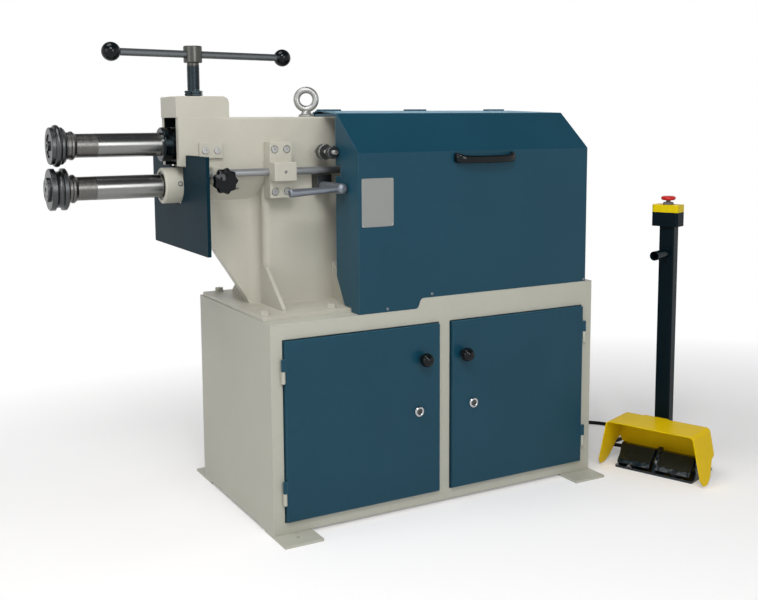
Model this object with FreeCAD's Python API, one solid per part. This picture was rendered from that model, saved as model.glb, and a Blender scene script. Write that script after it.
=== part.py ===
import FreeCAD, Part
import math
import os

# Roll forming machine on a two-door cabinet, with a foot control station.
# Millimetres. +X runs from the rolls to the motor, -Y is the door side, +Z is up.
# The origin is on the floor, in the middle of the four floor-bolt holes.

V = FreeCAD.Vector
X_AXIS = V(1, 0, 0)
Y_AXIS = V(0, 1, 0)
Z_AXIS = V(0, 0, 1)

# Clearances
GAP = 0.3
RUNNING_FIT = 0.05
BOLT_CLEARANCE = 0.5
OVERLAP = 1.0

# Cabinet
CABINET_LENGTH = 1200.0
CABINET_DEPTH = 600.0
CABINET_HEIGHT = 637.0
TOP_RISE = 32.0
TOP_STEP_X = -100.0
TOP_STEP_RUN = 12.0
TOP_BEND_RADIUS = 14.0
SHEET = 3.0
FOOT_THICKNESS = 8.0
FOOT_WIDTH = 124.0
FOOT_LENGTH = 150.0
FOOT_REACH = 85.0
FLOOR_HOLE_RADIUS = 7.0
FOOT_OUTER_MARGIN = 50.0
BOTTOM_RAIL = 38.0
TOP_RAIL = 53.0

# Doors
DOOR_GAP = 4.0
LEFT_STILE = 41.0
RIGHT_STILE = 46.0
POST_X = -2.75
POST_WIDTH = 47.5
DOOR_PROUD = 14.0
DOOR_PAN_DEPTH = 20.0
DOOR_SHEET = 2.0
DOOR_EDGE_RADIUS = 3.0
HINGE_OFFSET = 7.0
HINGE_BACKSET = 2.0
HINGE_RADIUS = 6.0
HINGE_PIN_RADIUS = 3.0
HINGE_HALF_LENGTH = 36.0
HINGE_LEAF = 5.0
HINGE_FROM_END = (87.0, 91.0)
KNOB_RADIUS = 22.0
KNOB_PROJECTION = 26.0
KNOB_STEM_RADIUS = 9.0
KNOB_WASHER_RADIUS = 12.0
KNOB_STUD_RADIUS = 4.0
KNOB_NUT_FLATS = 13.0
KNOB_FROM_TOP = 104.0
KNOB_STILE = 65.0
CAM_STILE = 79.0
CAM_ABOVE_MIDDLE = 1.0
CAM_FACE_RADIUS = 16.0
CAM_FACE_THICKNESS = 4.0
CAM_BARREL_RADIUS = 10.0
CAM_LENGTH = 94.0
CAM_WIDTH = 18.0
CAM_THICKNESS = 3.0

# Spindles
SPINDLE_Y = 20.0
SHAFT_RADIUS = 35.0
SHAFT_SPACING = 124.0
LOWER_AXIS_HEIGHT = 393.0
ROLL_SEAT_RADIUS = 25.0
SHOULDER_X = -1001.0
LOWER_SHOULDER_X = -1008.0
GEAR_SEAT_RADIUS = 30.0
REAR_JOURNAL_RADIUS = 25.0
ROLL_FACE_X = -1134.0
LOWER_ROLL_FACE_X = -1139.0
ROLL_CORE_RADIUS = 53.5
ROLL_RIM_RADIUS = 60.5
BEAD_WIDTH = 18.0
BEAD_SETBACK = 20.0
ROLL_WIDTH = 43.0
LOWER_ROLL_WIDTH = 50.0
GROOVE_DEPTH = 8.5
GROOVE_WIDTH = 21.0
ROLL_HUB_RADIUS = 39.0
ROLL_HUB_END_X = -1085.0
COLLAR_RADIUS = 41.5
SLEEVE_RADIUS = 34.5
COLLAR_LENGTH = 23.0
RECESS_RADIUS = 34.0
RECESS_DEPTH = 8.0
LOWER_CAP_RADIUS = 35.0
LOWER_CAP_THICKNESS = 8.0
CAP_HOLE_RADIUS = 4.0
CAP_CENTRE_RADIUS = 7.0
ROLL_NUT_RADIUS = 14.0
ROLL_NUT_FLATS = 12.0

# Casting
BASE_PLATE_X = -597.0
BASE_PLATE_LENGTH = 382.0
BASE_PLATE_REAR_INSET = 17.0
BASE_PLATE_THICKNESS = 12.0
COLUMN_X = -511.0
COLUMN_LENGTH = 271.0
FRAME_HALF_WIDTH = 78.0
COLUMN_EDGE_RADIUS = 21.0
CORE_WALL = 20.0
WEB_HALF_WIDTH = 18.0
WEB_FILLET = 30.0
WEB_EDGE = ((-27.0, 1.0), (-38.0, 30.0), (-151.0, 205.0), (-231.0, 332.0))
ARM_SHOULDER_RISE = 10.0
ARM_TOP_RISE = 80.0
ARM_TOP_RADIUS = 6.0
ARM_SHOULDER_RADIUS = 14.0
HEAD_FRONT_X = -777.0
HEAD_BOTTOM_DROP = 64.0
HEAD_LENGTH = 137.0
HEAD_SLOT_LENGTH = 60.0
SLOT_HALF_WIDTH = 55.0
TUNNEL_HALF_HEIGHT = 58.0
CAP_FRONT_X = -781.0
CAP_LENGTH = 165.0
CAP_HALF_WIDTH = 74.0
CAP_HEIGHT = 62.0
CAP_END_RADIUS = 20.0
NOSE_RADIUS = 54.0
NOSE_FRONT_X = -810.0
BUSH_RADIUS = 43.0
FRONT_BUSH_LENGTH = 57.0
FRONT_BUSH_SETBACK = 3.0
REAR_BUSH_LENGTH = 45.0
SHAFT_TUNNEL_RADIUS = 38.0
GUSSET_THICKNESS = 12.0
GUSSET_REACH = 132.0
GUSSET_HEIGHT = 123.0
GUSSET_XS = (-511.0, -275.0)
BASE_BOLT_INSETS = ((21.0, -1, 36.0), (246.0, -1, 43.0), (52.0, 1, 19.0), (246.0, 1, 19.0))
BASE_BOLT_RADIUS = 8.0
BASE_BOLT_FLATS = 24.0
BASE_BOLT_HEAD = 10.0
BASE_NUT_HEIGHT = 13.0
BASE_WASHER_RADIUS = 15.0
BASE_WASHER_THICKNESS = 3.0
SIDE_PLATE_X = -717.0
SIDE_PLATE_LENGTH = 73.0
SIDE_PLATE_HEIGHT = 46.0
SIDE_PLATE_THICKNESS = 10.0
SIDE_PLATE_DROP = 19.0
SIDE_SCREW_SPACING = 38.0

# Upper bearing block and lift screw
BLOCK_LENGTH = 136.0
BLOCK_HALF_HEIGHT = 50.0
FLANGE_RADIUS = 51.0
FLANGE_FRONT_X = -810.0
SCREW_X = -700.0
SCREW_RADIUS = 18.0
SCREW_TOP_RISE = 243.0
LIFT_NUT_RADIUS = 30.0
JAM_NUT_FLATS = 50.0
JAM_NUT_THICKNESS = 7.5
JAM_NUT_CHAMFER = 2.3
SCREW_DOWN_TRAVEL = 2.3
HUB_RADIUS = 28.0
HUB_HEIGHT = 50.0
BAR_RADIUS = 11.0
BAR_ANGLE = 9.7
BAR_LEFT = 262.0
BAR_RIGHT = 322.0
BALL_RADIUS = 27.5
PAD_RADIUS = 20.0
PAD_THICKNESS = 8.0
PAD_DOME_RADIUS = 80.0
SPIGOT_RADIUS = 8.0
SPIGOT_LENGTH = 10.0

# Depth stop
STOP_FACE_X = -758.0
STOP_THICKNESS = 10.0
STOP_NEAR_Y = -237.0
STOP_FAR_Y = 267.0
STOP_BELOW = 193.0
STOP_ABOVE = 92.0
STOP_CLEARANCE = 4.0
STOP_CORNER_RADIUS = 4.0
ROD_SEAT_DEPTH = 7.0
ROD_Y = -88.0
ROD_RISE = 37.0
ROD_RADIUS = 12.0
ROD_END_X = -262.0
BRACKET_X = -507.0
BRACKET_LENGTH = 73.0
BRACKET_BASE = 46.0
BRACKET_BLOCK = 37.0
BRACKET_BELOW = 80.0
BRACKET_ABOVE = 91.0
BLOCK_BELOW = 27.0
BLOCK_ABOVE = 29.0
BRACKET_SCREW_SPACING = 40.0
BRACKET_SCREWS_Z = (-61.0, 68.0)
SOCKET_HEAD_RADIUS = 10.0
SOCKET_HEAD_HEIGHT = 4.0
SOCKET_FLATS = 9.0
COUNTERBORE_RADIUS = 12.5
STAR_X = -673.0
STAR_Y = -160.0
STAR_DROP = 19.0
STAR_RADIUS = 40.0
STAR_LOBES = 9
STAR_LOBE_RADIUS = 9.0
STAR_STUD_RADIUS = 5.0
CLAMP_WIDTH = 36.0

# Side controls
LEVER_X = -325.0
LEVER_DROP = 14.0
LEVER_HUB_RADIUS = 16.5
LEVER_ELBOW_RADIUS = 11.0
LEVER_PIVOT_RADIUS = 7.0
LEVER_ROOT_RADIUS = 9.0
LEVER_TIP_RADIUS = 12.5
LEVER_SLOPE = 2.5
LEVER_END_Y = -240.0
LEVER_LENGTH = 172.0
LEVER_BLOCK_THICKNESS = 42.0
LEVER_BLOCK_LEFT = 21.0
LEVER_BLOCK_RIGHT = 28.0
LEVER_BLOCK_BELOW = 10.0
LEVER_BLOCK_ABOVE = 37.0
ADJUSTER_X = -328.0
ADJUSTER_DROP = 29.0
ADJUSTER_RING_RADIUS = 22.0
ADJUSTER_RING_OUT = 42.0
ADJUSTER_KNOB_RADIUS = 20.0
ADJUSTER_KNOB_OUT = 101.0
ADJUSTER_STUD_OUT = 128.0
ADJUSTER_STUD_RADIUS = 6.5
EYE_X = -325.0
EYE_OUTER_RADIUS = 41.0
EYE_INNER_RADIUS = 25.0
EYE_RISE = 55.0
EYE_NORMAL = V(-0.42, -0.91, 0)
EYE_STUD_RADIUS = 10.5
EYE_STUD_LENGTH = 14.0
EYE_FLANGE_RADIUS = 25.0
EYE_FLANGE_THICKNESS = 7.0
EYE_NECK_RADIUS = 16.0

# Cover
HOOD_LEFT_X = -307.0
HOOD_RIGHT_INSET = 29.0
HOOD_CREASE_RISE = 96.0
HOOD_TOP_CLEARANCE = 10.0
HOOD_TOP_RISE = 10.0
HOOD_SLOPE_RUN = 143.0
HOOD_HINGE_Y = 150.0
HOOD_REAR_INSET = 2.0
HOOD_SHEET = 2.0
HOOD_BEND_RADIUS = 5.0
HOOD_HINGE_RADIUS = 5.0
HOOD_PIN_RADIUS = 2.5
HOOD_HINGE_LENGTH = 90.0
HOOD_HINGE_INSETS = (56.0, 67.0)
PANEL_WIDTH = 150.0
PANEL_FOOT_RISE = 100.0
ROD_NOTCH_DEPTH = 34.0
ROD_NOTCH_CLEARANCE = 4.0
HANDLE_X = 31.0
HANDLE_LENGTH = 230.0
HANDLE_HEIGHT = 37.0
HANDLE_DEPTH = 40.0
HANDLE_DROP = 4.0
HANDLE_SLANT = 22.0
HANDLE_FOOT = 30.0
HANDLE_GRIP = 14.0

# Drive
GEAR_MODULE = 4.0
GEAR_TEETH = 31
GEAR_X = -225.0
GEAR_WIDTH = 40.0
GEAR_BACKLASH = 0.5
PRESSURE_ANGLE = 20.0
PIVOT_X = -140.0
SWIVEL_RADIUS = 50.0
SWIVEL_HALF_WIDTH = 20.0
STAND_HALF_THICKNESS = 22.0
STAND_HEAD_HALF = 75.0
STAND_LEG_HALF = 120.0
STAND_FOOT_HALF = 150.0
STAND_FOOT_THICKNESS = 15.0
STAND_FOOT_REACH = 22.0
STAND_WAIST_DROP = 60.0
STAND_RIB_DROP = 90.0
STAND_RIB_HALF = 8.0
COUPLING_X = -105.0
COUPLING_RADIUS = 40.0
COUPLING_HUB_LENGTH = 35.0
SPIDER_LENGTH = 15.0
GEARBOX_X = 0.0
GEARBOX_LENGTH = 150.0
GEARBOX_HALF_WIDTH = 105.0
GEARBOX_HALF_HEIGHT = 95.0
OUTPUT_RADIUS = 22.0
MOTOR_RADIUS = 82.0
MOTOR_LENGTH = 240.0
FAN_COVER_RADIUS = 88.0
FAN_COVER_LENGTH = 60.0
STAND_TOP_DROP = 108.0
STAND_PLATE = 12.0
STAND_OVERHANG = 15.0
MOTOR_FINS = 24
TERMINAL_OFFSET = 60.0
TERMINAL_LENGTH = 110.0
TERMINAL_HALF_WIDTH = 50.0
TERMINAL_RISE = 45.0
MOTOR_FLANGE_EXTRA = 8.0

# Electrical box in the right bay
CONTROL_BOX_X = 150.0
CONTROL_BOX_WIDTH = 300.0
CONTROL_BOX_DEPTH = 130.0
CONTROL_BOX_BOTTOM_Z = 250.0
CONTROL_BOX_HEADROOM = 87.0
CONTROL_BOX_INLETS = (70.0, 150.0, 230.0)

# Foot control station, in its own frame: across, depth, height
STATION_X = 758.0
STATION_Y = -452.0
STATION_TURN = -68.6
STATION_HALF_WIDTH = 142.5
STATION_DEPTH = 184.0
STATION_PLATE = 8.0
CHEEK_RISE = 10.0
FIN_RISE = 18.0
FIN_HALF_THICKNESS = 6.0
HOUSING_INSET = 12.0
HOUSING_TOP_Z = 52.0
GUARD_HEIGHT = 174.0
GUARD_HALF_WIDTH = 158.0
GUARD_FLARE = 34.0
GUARD_FRONT = -40.0
GUARD_BACK = 104.0
GUARD_SHEET = 3.0
GUARD_CORNER = 16.0
GUARD_TIP_Z = 4.0
GUARD_WALL_BOTTOM_Z = 60.0
PEDAL_INNER = 13.0
PEDAL_OUTER = 131.0
PEDAL_PIVOT_DEPTH = 68.0
PEDAL_PIVOT_Z = 66.0
PEDAL_BOSS_RADIUS = 9.0
PEDAL_PIN_RADIUS = 4.0
PEDAL_FRONT_Z = 33.0
PEDAL_LIP_Z = 19.0
PEDAL_SIDE = 3.0
MAST_ACROSS = -28.0
MAST_FRONT = 126.0
MAST_WIDTH = 54.0
MAST_DEPTH = 42.0
MAST_WALL = 3.0
MAST_TOP_Z = 857.0
STUB_RADIUS = 16.0
STUB_LENGTH = 95.0
STUB_Z = 762.0
BUTTON_BOX_WIDTH = 95.0
BUTTON_BOX_DEPTH = 62.0
BUTTON_BOX_HEIGHT = 49.0
BUTTON_COVER_HEIGHT = 26.0
BUTTON_BOX_CORNER = 9.0
BUTTON_RADIUS = 25.0
BUTTON_SKIRT_GAP = 14.0
BUTTON_HEIGHT = 16.0
BUTTON_STEM_RADIUS = 8.0

# Cord from the cabinet to the station
CORD_RADIUS = 7.0
GLAND_RADIUS = 13.0
GLAND_LENGTH = 26.0
CABINET_GLAND_Y = 180.0
CABINET_GLAND_Z = 62.0
STATION_GLAND_DEPTH = 146.0
STATION_GLAND_Z = 30.0
CORD_LEAD = 50.0
CORD_DROP = ((88.0, 180.0, 62.0), (148.0, 181.0, 24.0))
CORD_LOOP = ((222.0, 177.0), (300.0, 158.0), (369.0, 117.0), (413.0, 59.0), (423.0, 5.0),
             (401.0, -59.0), (344.0, -107.0), (270.0, -119.0))
CORD_RISE = (230.0, -156.0, 14.0)

# Derived places
LEFT_X = -CABINET_LENGTH / 2
RIGHT_X = CABINET_LENGTH / 2
FRONT_Y = -CABINET_DEPTH / 2
REAR_Y = CABINET_DEPTH / 2
FLOOR_HOLE_X = CABINET_LENGTH / 2 - FOOT_WIDTH / 2
FLOOR_HOLE_Y = CABINET_DEPTH / 2 + FOOT_REACH - FOOT_OUTER_MARGIN
LOW_TOP_Z = FOOT_THICKNESS + CABINET_HEIGHT
HIGH_TOP_Z = LOW_TOP_Z + TOP_RISE
DOOR_FRONT_Y = FRONT_Y - DOOR_PROUD
LEFT_DOOR_X = LEFT_X + LEFT_STILE
LEFT_DOOR_END_X = POST_X - POST_WIDTH / 2
RIGHT_DOOR_X = POST_X + POST_WIDTH / 2
RIGHT_DOOR_END_X = RIGHT_X - RIGHT_STILE
DOOR_BOTTOM_Z = FOOT_THICKNESS + BOTTOM_RAIL
DOOR_TOP_Z = LOW_TOP_Z - TOP_RAIL
HINGE_JOINTS_Z = (DOOR_TOP_Z - HINGE_FROM_END[0], DOOR_BOTTOM_Z + HINGE_FROM_END[1])
KNOB_HEIGHT_Z = DOOR_TOP_Z - KNOB_FROM_TOP
CAM_HEIGHT_Z = (DOOR_BOTTOM_Z + DOOR_TOP_Z) / 2 + CAM_ABOVE_MIDDLE
LOWER_Z = LOW_TOP_Z + LOWER_AXIS_HEIGHT
UPPER_Z = LOWER_Z + SHAFT_SPACING
ARM_SHOULDER_Z = LOWER_Z + ARM_SHOULDER_RISE
ARM_TOP_Z = UPPER_Z + ARM_TOP_RISE
ARM_FRONT_X = STOP_FACE_X + STOP_THICKNESS + STOP_CLEARANCE
HEAD_BOTTOM_Z = UPPER_Z - HEAD_BOTTOM_DROP
TUNNEL_FLOOR_Z = UPPER_Z - TUNNEL_HALF_HEIGHT
TUNNEL_ROOF_Z = UPPER_Z + TUNNEL_HALF_HEIGHT
COLUMN_END_X = COLUMN_X + COLUMN_LENGTH
COVER_LEFT_X = COLUMN_END_X + STOP_CLEARANCE
FRAME_NEAR_Y = SPINDLE_Y - FRAME_HALF_WIDTH
FRAME_FAR_Y = SPINDLE_Y + FRAME_HALF_WIDTH
CAP_TOP_Z = ARM_TOP_Z + CAP_HEIGHT
BASE_PLATE_HALF_DEPTH = REAR_Y - BASE_PLATE_REAR_INSET - SPINDLE_Y
SCREW_TOP_Z = UPPER_Z + SCREW_TOP_RISE
STOP_BOTTOM_Z = LOWER_Z - STOP_BELOW
STOP_TOP_Z = LOWER_Z + STOP_ABOVE
ROD_Z = LOWER_Z + ROD_RISE
STAR_Z = ROD_Z - STAR_DROP
LEVER_Z = LOWER_Z - LEVER_DROP
ADJUSTER_Z = UPPER_Z - ADJUSTER_DROP
EYE_CENTRE_Z = ARM_TOP_Z + EYE_RISE
HOOD_RIGHT_X = RIGHT_X - HOOD_RIGHT_INSET
HOOD_REAR_Y = REAR_Y - HOOD_REAR_INSET
HOOD_TOP_FRONT_Y = FRONT_Y + HOOD_SLOPE_RUN
PANEL_EDGE_Y = FRONT_Y + PANEL_WIDTH
HOOD_CREASE_Z = LOWER_Z + HOOD_CREASE_RISE
HOOD_TOP_Z = ARM_TOP_Z + HOOD_TOP_CLEARANCE
HINGE_Z = HOOD_TOP_Z + HOOD_TOP_RISE
FIRST_HINGE_X = COVER_LEFT_X + HOOD_HINGE_INSETS[0]
LAST_HINGE_X = HOOD_RIGHT_X - HOOD_HINGE_INSETS[1]
HOOD_HINGE_XS = (FIRST_HINGE_X, (FIRST_HINGE_X + LAST_HINGE_X) / 2, LAST_HINGE_X)
HANDLE_TOP_Z = HOOD_CREASE_Z - HANDLE_DROP
CONTROL_BOX_TOP_Z = HIGH_TOP_Z - CONTROL_BOX_HEADROOM
FRONT_BUSH_END_X = NOSE_FRONT_X + FRONT_BUSH_SETBACK + FRONT_BUSH_LENGTH
STUD_HOLE_DEPTH = ADJUSTER_STUD_RADIUS * 2 + OVERLAP
GEAR_PITCH_RADIUS = GEAR_MODULE * GEAR_TEETH / 2


# Shape helpers

def box(x0, x1, y0, y1, z0, z1):
    return Part.makeBox(x1 - x0, y1 - y0, z1 - z0, V(x0, y0, z0))


def rod(radius, start, end):
    return Part.makeCylinder(radius, (end - start).Length, start, end - start)


def rod_x(radius, x0, x1, y, z):
    return rod(radius, V(x0, y, z), V(x1, y, z))


def rod_y(radius, y0, y1, x, z):
    return rod(radius, V(x, y0, z), V(x, y1, z))


def rod_z(radius, z0, z1, x, y):
    return rod(radius, V(x, y, z0), V(x, y, z1))


def joined(solids):
    shape = solids[0].multiFuse(solids[1:])
    return shape.removeSplitter()


def cut(shape, tools):
    return shape.cut(Part.makeCompound(tools))


def corner_arc(before, point, after, radius):
    """Ends and middle of the arc that rounds one corner of a path."""
    back = (before - point).normalize()
    ahead = (after - point).normalize()
    half = back.getAngle(ahead) / 2
    reach = radius / math.tan(half)
    centre = point + (back + ahead).normalize() * (radius / math.sin(half))
    middle = centre + (point - centre).normalize() * radius
    return point + back * reach, middle, point + ahead * reach


def rounded_wire(points, radii, closed=True):
    """Straight runs joined by tangent arcs; a radius of 0 leaves a sharp corner."""
    count = len(points)
    edges = []
    corners = []
    for i, point in enumerate(points):
        sharp = radii[i] == 0 or (not closed and i in (0, count - 1))
        if sharp:
            corners.append((point, None, point))
        else:
            corners.append(corner_arc(points[i - 1], point, points[(i + 1) % count], radii[i]))
    runs = count if closed else count - 1
    for i in range(count):
        start, middle, end = corners[i]
        if middle is not None:
            edges.append(Part.Arc(start, middle, end).toShape())
        if i < runs:
            following = corners[(i + 1) % count][0]
            if (following - end).Length > 1e-6:
                edges.append(Part.LineSegment(end, following).toShape())
    return Part.Wire(edges)


def prism(points, radii, depth):
    return Part.Face(rounded_wire(points, radii)).extrude(depth)


def flat_radii(points, radius=0):
    return [radius] * len(points)


def prism_xz(points, y0, y1, radii=None):
    corners = [V(x, y0, z) for x, z in points]
    return prism(corners, radii or flat_radii(points), V(0, y1 - y0, 0))


def prism_yz(points, x0, x1, radii=None):
    corners = [V(x0, y, z) for y, z in points]
    return prism(corners, radii or flat_radii(points), V(x1 - x0, 0, 0))


def prism_xy(points, z0, z1, radii=None):
    corners = [V(x, y, z0) for x, y in points]
    return prism(corners, radii or flat_radii(points), V(0, 0, z1 - z0))


def turned(profile, origin, direction):
    """Full turn of a (radius, length along the axis) outline."""
    points = [V(radius, 0, length) for radius, length in profile]
    solid = Part.Face(Part.makePolygon(points + points[:1])).revolve(V(0, 0, 0), Z_AXIS, 360)
    solid.Placement = FreeCAD.Placement(origin, FreeCAD.Rotation(Z_AXIS, direction))
    return solid


def hexagon(across_flats, start, end):
    turn = FreeCAD.Rotation(Z_AXIS, end - start)
    reach = across_flats / math.sqrt(3)
    points = []
    for i in range(6):
        angle = math.radians(60 * i)
        points.append(start + turn.multVec(V(reach * math.cos(angle), reach * math.sin(angle), 0)))
    return prism(points, flat_radii(points), end - start)


def save(name, *solids):
    shape = solids[0] if len(solids) == 1 else Part.makeCompound(list(solids))
    shape.exportStep("parts/" + name + ".step")
    volume = sum(solid.Volume for solid in shape.Solids) / 1000
    print(name, "solids", len(shape.Solids), "cm3", round(volume, 1), "valid", shape.isValid())


# Cabinet

def top_profile(z_shift, x_shift):
    """The stepped line of the cabinet's top, from the left wall to the right."""
    return [
        (LEFT_X, LOW_TOP_Z + z_shift),
        (TOP_STEP_X + x_shift, LOW_TOP_Z + z_shift),
        (TOP_STEP_X + TOP_STEP_RUN + x_shift, HIGH_TOP_Z + z_shift),
        (RIGHT_X, HIGH_TOP_Z + z_shift),
    ]


def door_opening(x0, x1):
    return box(x0 - DOOR_GAP, x1 + DOOR_GAP, FRONT_Y - 1, FRONT_Y + SHEET + 1,
               DOOR_BOTTOM_Z - DOOR_GAP, DOOR_TOP_Z + DOOR_GAP)


LEFT_HINGE_X = LEFT_DOOR_X - HINGE_OFFSET
RIGHT_HINGE_X = RIGHT_DOOR_END_X + HINGE_OFFSET
HINGE_Y = DOOR_FRONT_Y + HINGE_BACKSET
WALL_TOP_BENDS = [0, 0, 0, TOP_BEND_RADIUS, TOP_BEND_RADIUS, 0]


def floor_feet():
    feet = []
    for side in (-1, 1):
        for end in (-1, 1):
            outer = end * (FLOOR_HOLE_Y + FOOT_OUTER_MARGIN)
            inner = outer - end * FOOT_LENGTH
            centre = side * FLOOR_HOLE_X
            foot = box(centre - FOOT_WIDTH / 2, centre + FOOT_WIDTH / 2,
                       min(outer, inner), max(outer, inner), 0, FOOT_THICKNESS)
            hole = rod_z(FLOOR_HOLE_RADIUS, -1, FOOT_THICKNESS + 1, centre, end * FLOOR_HOLE_Y)
            feet.append(foot.cut(hole))
    return feet


def cabinet_shell():
    floor = FOOT_THICKNESS
    inner_y = FRONT_Y + SHEET
    under_low = LOW_TOP_Z - SHEET
    under_high = HIGH_TOP_Z - SHEET
    behind_doors = DOOR_FRONT_Y + DOOR_PAN_DEPTH + DOOR_PROUD
    back_line = [(RIGHT_X, floor), (LEFT_X, floor)] + top_profile(-SHEET, SHEET)
    walls = [
        box(LEFT_X, RIGHT_X, inner_y, REAR_Y, floor, floor + SHEET),
        box(LEFT_X, LEFT_X + SHEET, inner_y, REAR_Y, floor, under_low),
        box(RIGHT_X - SHEET, RIGHT_X, inner_y, REAR_Y, floor, under_high),
        prism_xz(back_line, REAR_Y - SHEET, REAR_Y, WALL_TOP_BENDS),
        box(POST_X - SHEET / 2, POST_X + SHEET / 2, behind_doors, REAR_Y, floor, under_high),
    ]
    gland_hole = rod_x(GLAND_RADIUS, RIGHT_X - SHEET - 1, RIGHT_X + 1,
                       CABINET_GLAND_Y, CABINET_GLAND_Z)
    return joined(walls).cut(gland_hole)


def hinge_barrel(x, joint_z):
    """Fixed half of a lift-off hinge, with the pin on which the door's sleeve sits."""
    barrel = rod_z(HINGE_RADIUS, joint_z - HINGE_HALF_LENGTH, joint_z, x, HINGE_Y)
    pin = rod_z(HINGE_PIN_RADIUS, joint_z - 1, joint_z + HINGE_HALF_LENGTH - 2, x, HINGE_Y)
    leaf = box(x - HINGE_LEAF / 2, x + HINGE_LEAF / 2, HINGE_Y, FRONT_Y + 1,
               joint_z - HINGE_HALF_LENGTH, joint_z)
    return [barrel, pin, leaf]


def cabinet_front_frame():
    outline = [(RIGHT_X, FOOT_THICKNESS), (LEFT_X, FOOT_THICKNESS)] + top_profile(-SHEET, SHEET)
    plate = prism_xz(outline, FRONT_Y, FRONT_Y + SHEET, WALL_TOP_BENDS)
    plate = cut(plate, [door_opening(LEFT_DOOR_X, LEFT_DOOR_END_X),
                        door_opening(RIGHT_DOOR_X, RIGHT_DOOR_END_X)])
    pieces = [plate]
    for x in (LEFT_HINGE_X, RIGHT_HINGE_X):
        for joint_z in HINGE_JOINTS_Z:
            pieces += hinge_barrel(x, joint_z)
    return joined(pieces)


def base_bolt_places():
    """Bolts of the casting: from its left edge, and in from its near or far edge."""
    places = []
    for x, side, inset in BASE_BOLT_INSETS:
        places.append((BASE_PLATE_X + x, SPINDLE_Y + side * (BASE_PLATE_HALF_DEPTH - inset)))
    return places


def cabinet_top():
    upper = top_profile(0, 0)
    lower = top_profile(-SHEET, SHEET)[::-1]
    bend = TOP_BEND_RADIUS
    sheet = prism_xz(upper + lower, FRONT_Y, REAR_Y, [0, bend, bend, 0, 0, bend, bend, 0])
    holes = []
    for x, y in base_bolt_places():
        holes.append(rod_z(BASE_BOLT_RADIUS + BOLT_CLEARANCE, LOW_TOP_Z - SHEET - 1,
                           LOW_TOP_Z + 1, x, y))
    return cut(sheet, holes)


# Doors

def door(x0, x1, hinge_x, side):
    """Folded pan with its hinge sleeves; side is +1 where the door lies right of its hinge."""
    top = DOOR_TOP_Z
    rear = DOOR_FRONT_Y + DOOR_PAN_DEPTH
    pan = box(x0, x1, DOOR_FRONT_Y, rear, DOOR_BOTTOM_Z, top)
    front_edges = []
    for edge in pan.Edges:
        bounds = edge.BoundBox
        if bounds.YMax < DOOR_FRONT_Y + 0.01:
            front_edges.append(edge)
    pan = pan.makeFillet(DOOR_EDGE_RADIUS, front_edges)
    inside = box(x0 + DOOR_SHEET, x1 - DOOR_SHEET, DOOR_FRONT_Y + DOOR_SHEET, rear + 1,
                 DOOR_BOTTOM_Z + DOOR_SHEET, top - DOOR_SHEET)
    pan = pan.cut(inside)
    edge_x = x0 if side > 0 else x1
    sleeves = []
    bores = []
    for joint_z in HINGE_JOINTS_Z:
        z0 = joint_z + GAP
        z1 = joint_z + HINGE_HALF_LENGTH
        sleeves.append(rod_z(HINGE_RADIUS, z0, z1, hinge_x, HINGE_Y))
        sleeves.append(box(min(hinge_x, edge_x + side), max(hinge_x, edge_x + side),
                           HINGE_Y - DOOR_SHEET, HINGE_Y + DOOR_SHEET, z0, z1))
        bores.append(rod_z(HINGE_PIN_RADIUS + RUNNING_FIT, z0 - 1, z1 + 1, hinge_x, HINGE_Y))
    bores.append(rod_y(CAM_BARREL_RADIUS + RUNNING_FIT, DOOR_FRONT_Y - 1, rear,
                       cam_x(side), CAM_HEIGHT_Z))
    bores.append(rod_y(KNOB_STUD_RADIUS, DOOR_FRONT_Y - 1, DOOR_FRONT_Y + DOOR_SHEET + 1,
                       knob_x(side), KNOB_HEIGHT_Z))
    return cut(joined([pan] + sleeves), bores)


def free_edge_x(side):
    return LEFT_DOOR_END_X if side > 0 else RIGHT_DOOR_X


def knob_x(side):
    stile = KNOB_STILE if side > 0 else 0.6 * KNOB_STILE
    return free_edge_x(side) - side * stile


def cam_x(side):
    return free_edge_x(side) - side * CAM_STILE


def door_knob(side):
    nut_end = DOOR_SHEET + 5
    stud_end = nut_end + 3
    neck = KNOB_PROJECTION - KNOB_RADIUS / 2
    profile = [
        (0, -stud_end), (KNOB_STUD_RADIUS, -stud_end), (KNOB_STUD_RADIUS, 0),
        (KNOB_WASHER_RADIUS, 0), (KNOB_WASHER_RADIUS, 3), (KNOB_STEM_RADIUS, 5),
        (KNOB_STEM_RADIUS, neck), (0, neck),
    ]
    origin = V(knob_x(side), DOOR_FRONT_Y, KNOB_HEIGHT_Z)
    stem = turned(profile, origin, -Y_AXIS)
    ball = Part.makeSphere(KNOB_RADIUS, origin - Y_AXIS * KNOB_PROJECTION)
    nut = hexagon(KNOB_NUT_FLATS, origin + Y_AXIS * DOOR_SHEET, origin + Y_AXIS * nut_end)
    return joined([stem, ball, nut])


def cam_lock(side):
    x = cam_x(side)
    rear = DOOR_FRONT_Y + DOOR_PAN_DEPTH + 3
    front = DOOR_FRONT_Y - CAM_FACE_THICKNESS
    face = rod_y(CAM_FACE_RADIUS, front, DOOR_FRONT_Y - GAP, x, CAM_HEIGHT_Z)
    edge = [e for e in face.Edges if e.BoundBox.YMax < front + 0.1]
    face = face.makeFillet(1.5, edge)
    barrel = rod_y(CAM_BARREL_RADIUS, DOOR_FRONT_Y - 1, rear, x, CAM_HEIGHT_Z)
    cam = box(x - CAM_WIDTH / 2, x + CAM_WIDTH / 2, rear, rear + CAM_THICKNESS,
              CAM_HEIGHT_Z - CAM_LENGTH, CAM_HEIGHT_Z + CAM_WIDTH / 2)
    key_slot = box(x - 1.2, x + 1.2, front - 1, front + 2.5, CAM_HEIGHT_Z - 5, CAM_HEIGHT_Z + 5)
    return joined([face, barrel, cam]).cut(key_slot)


# Machine casting

def mirrored(shape):
    return shape.mirror(V(0, SPINDLE_Y, 0), Y_AXIS)


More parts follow.
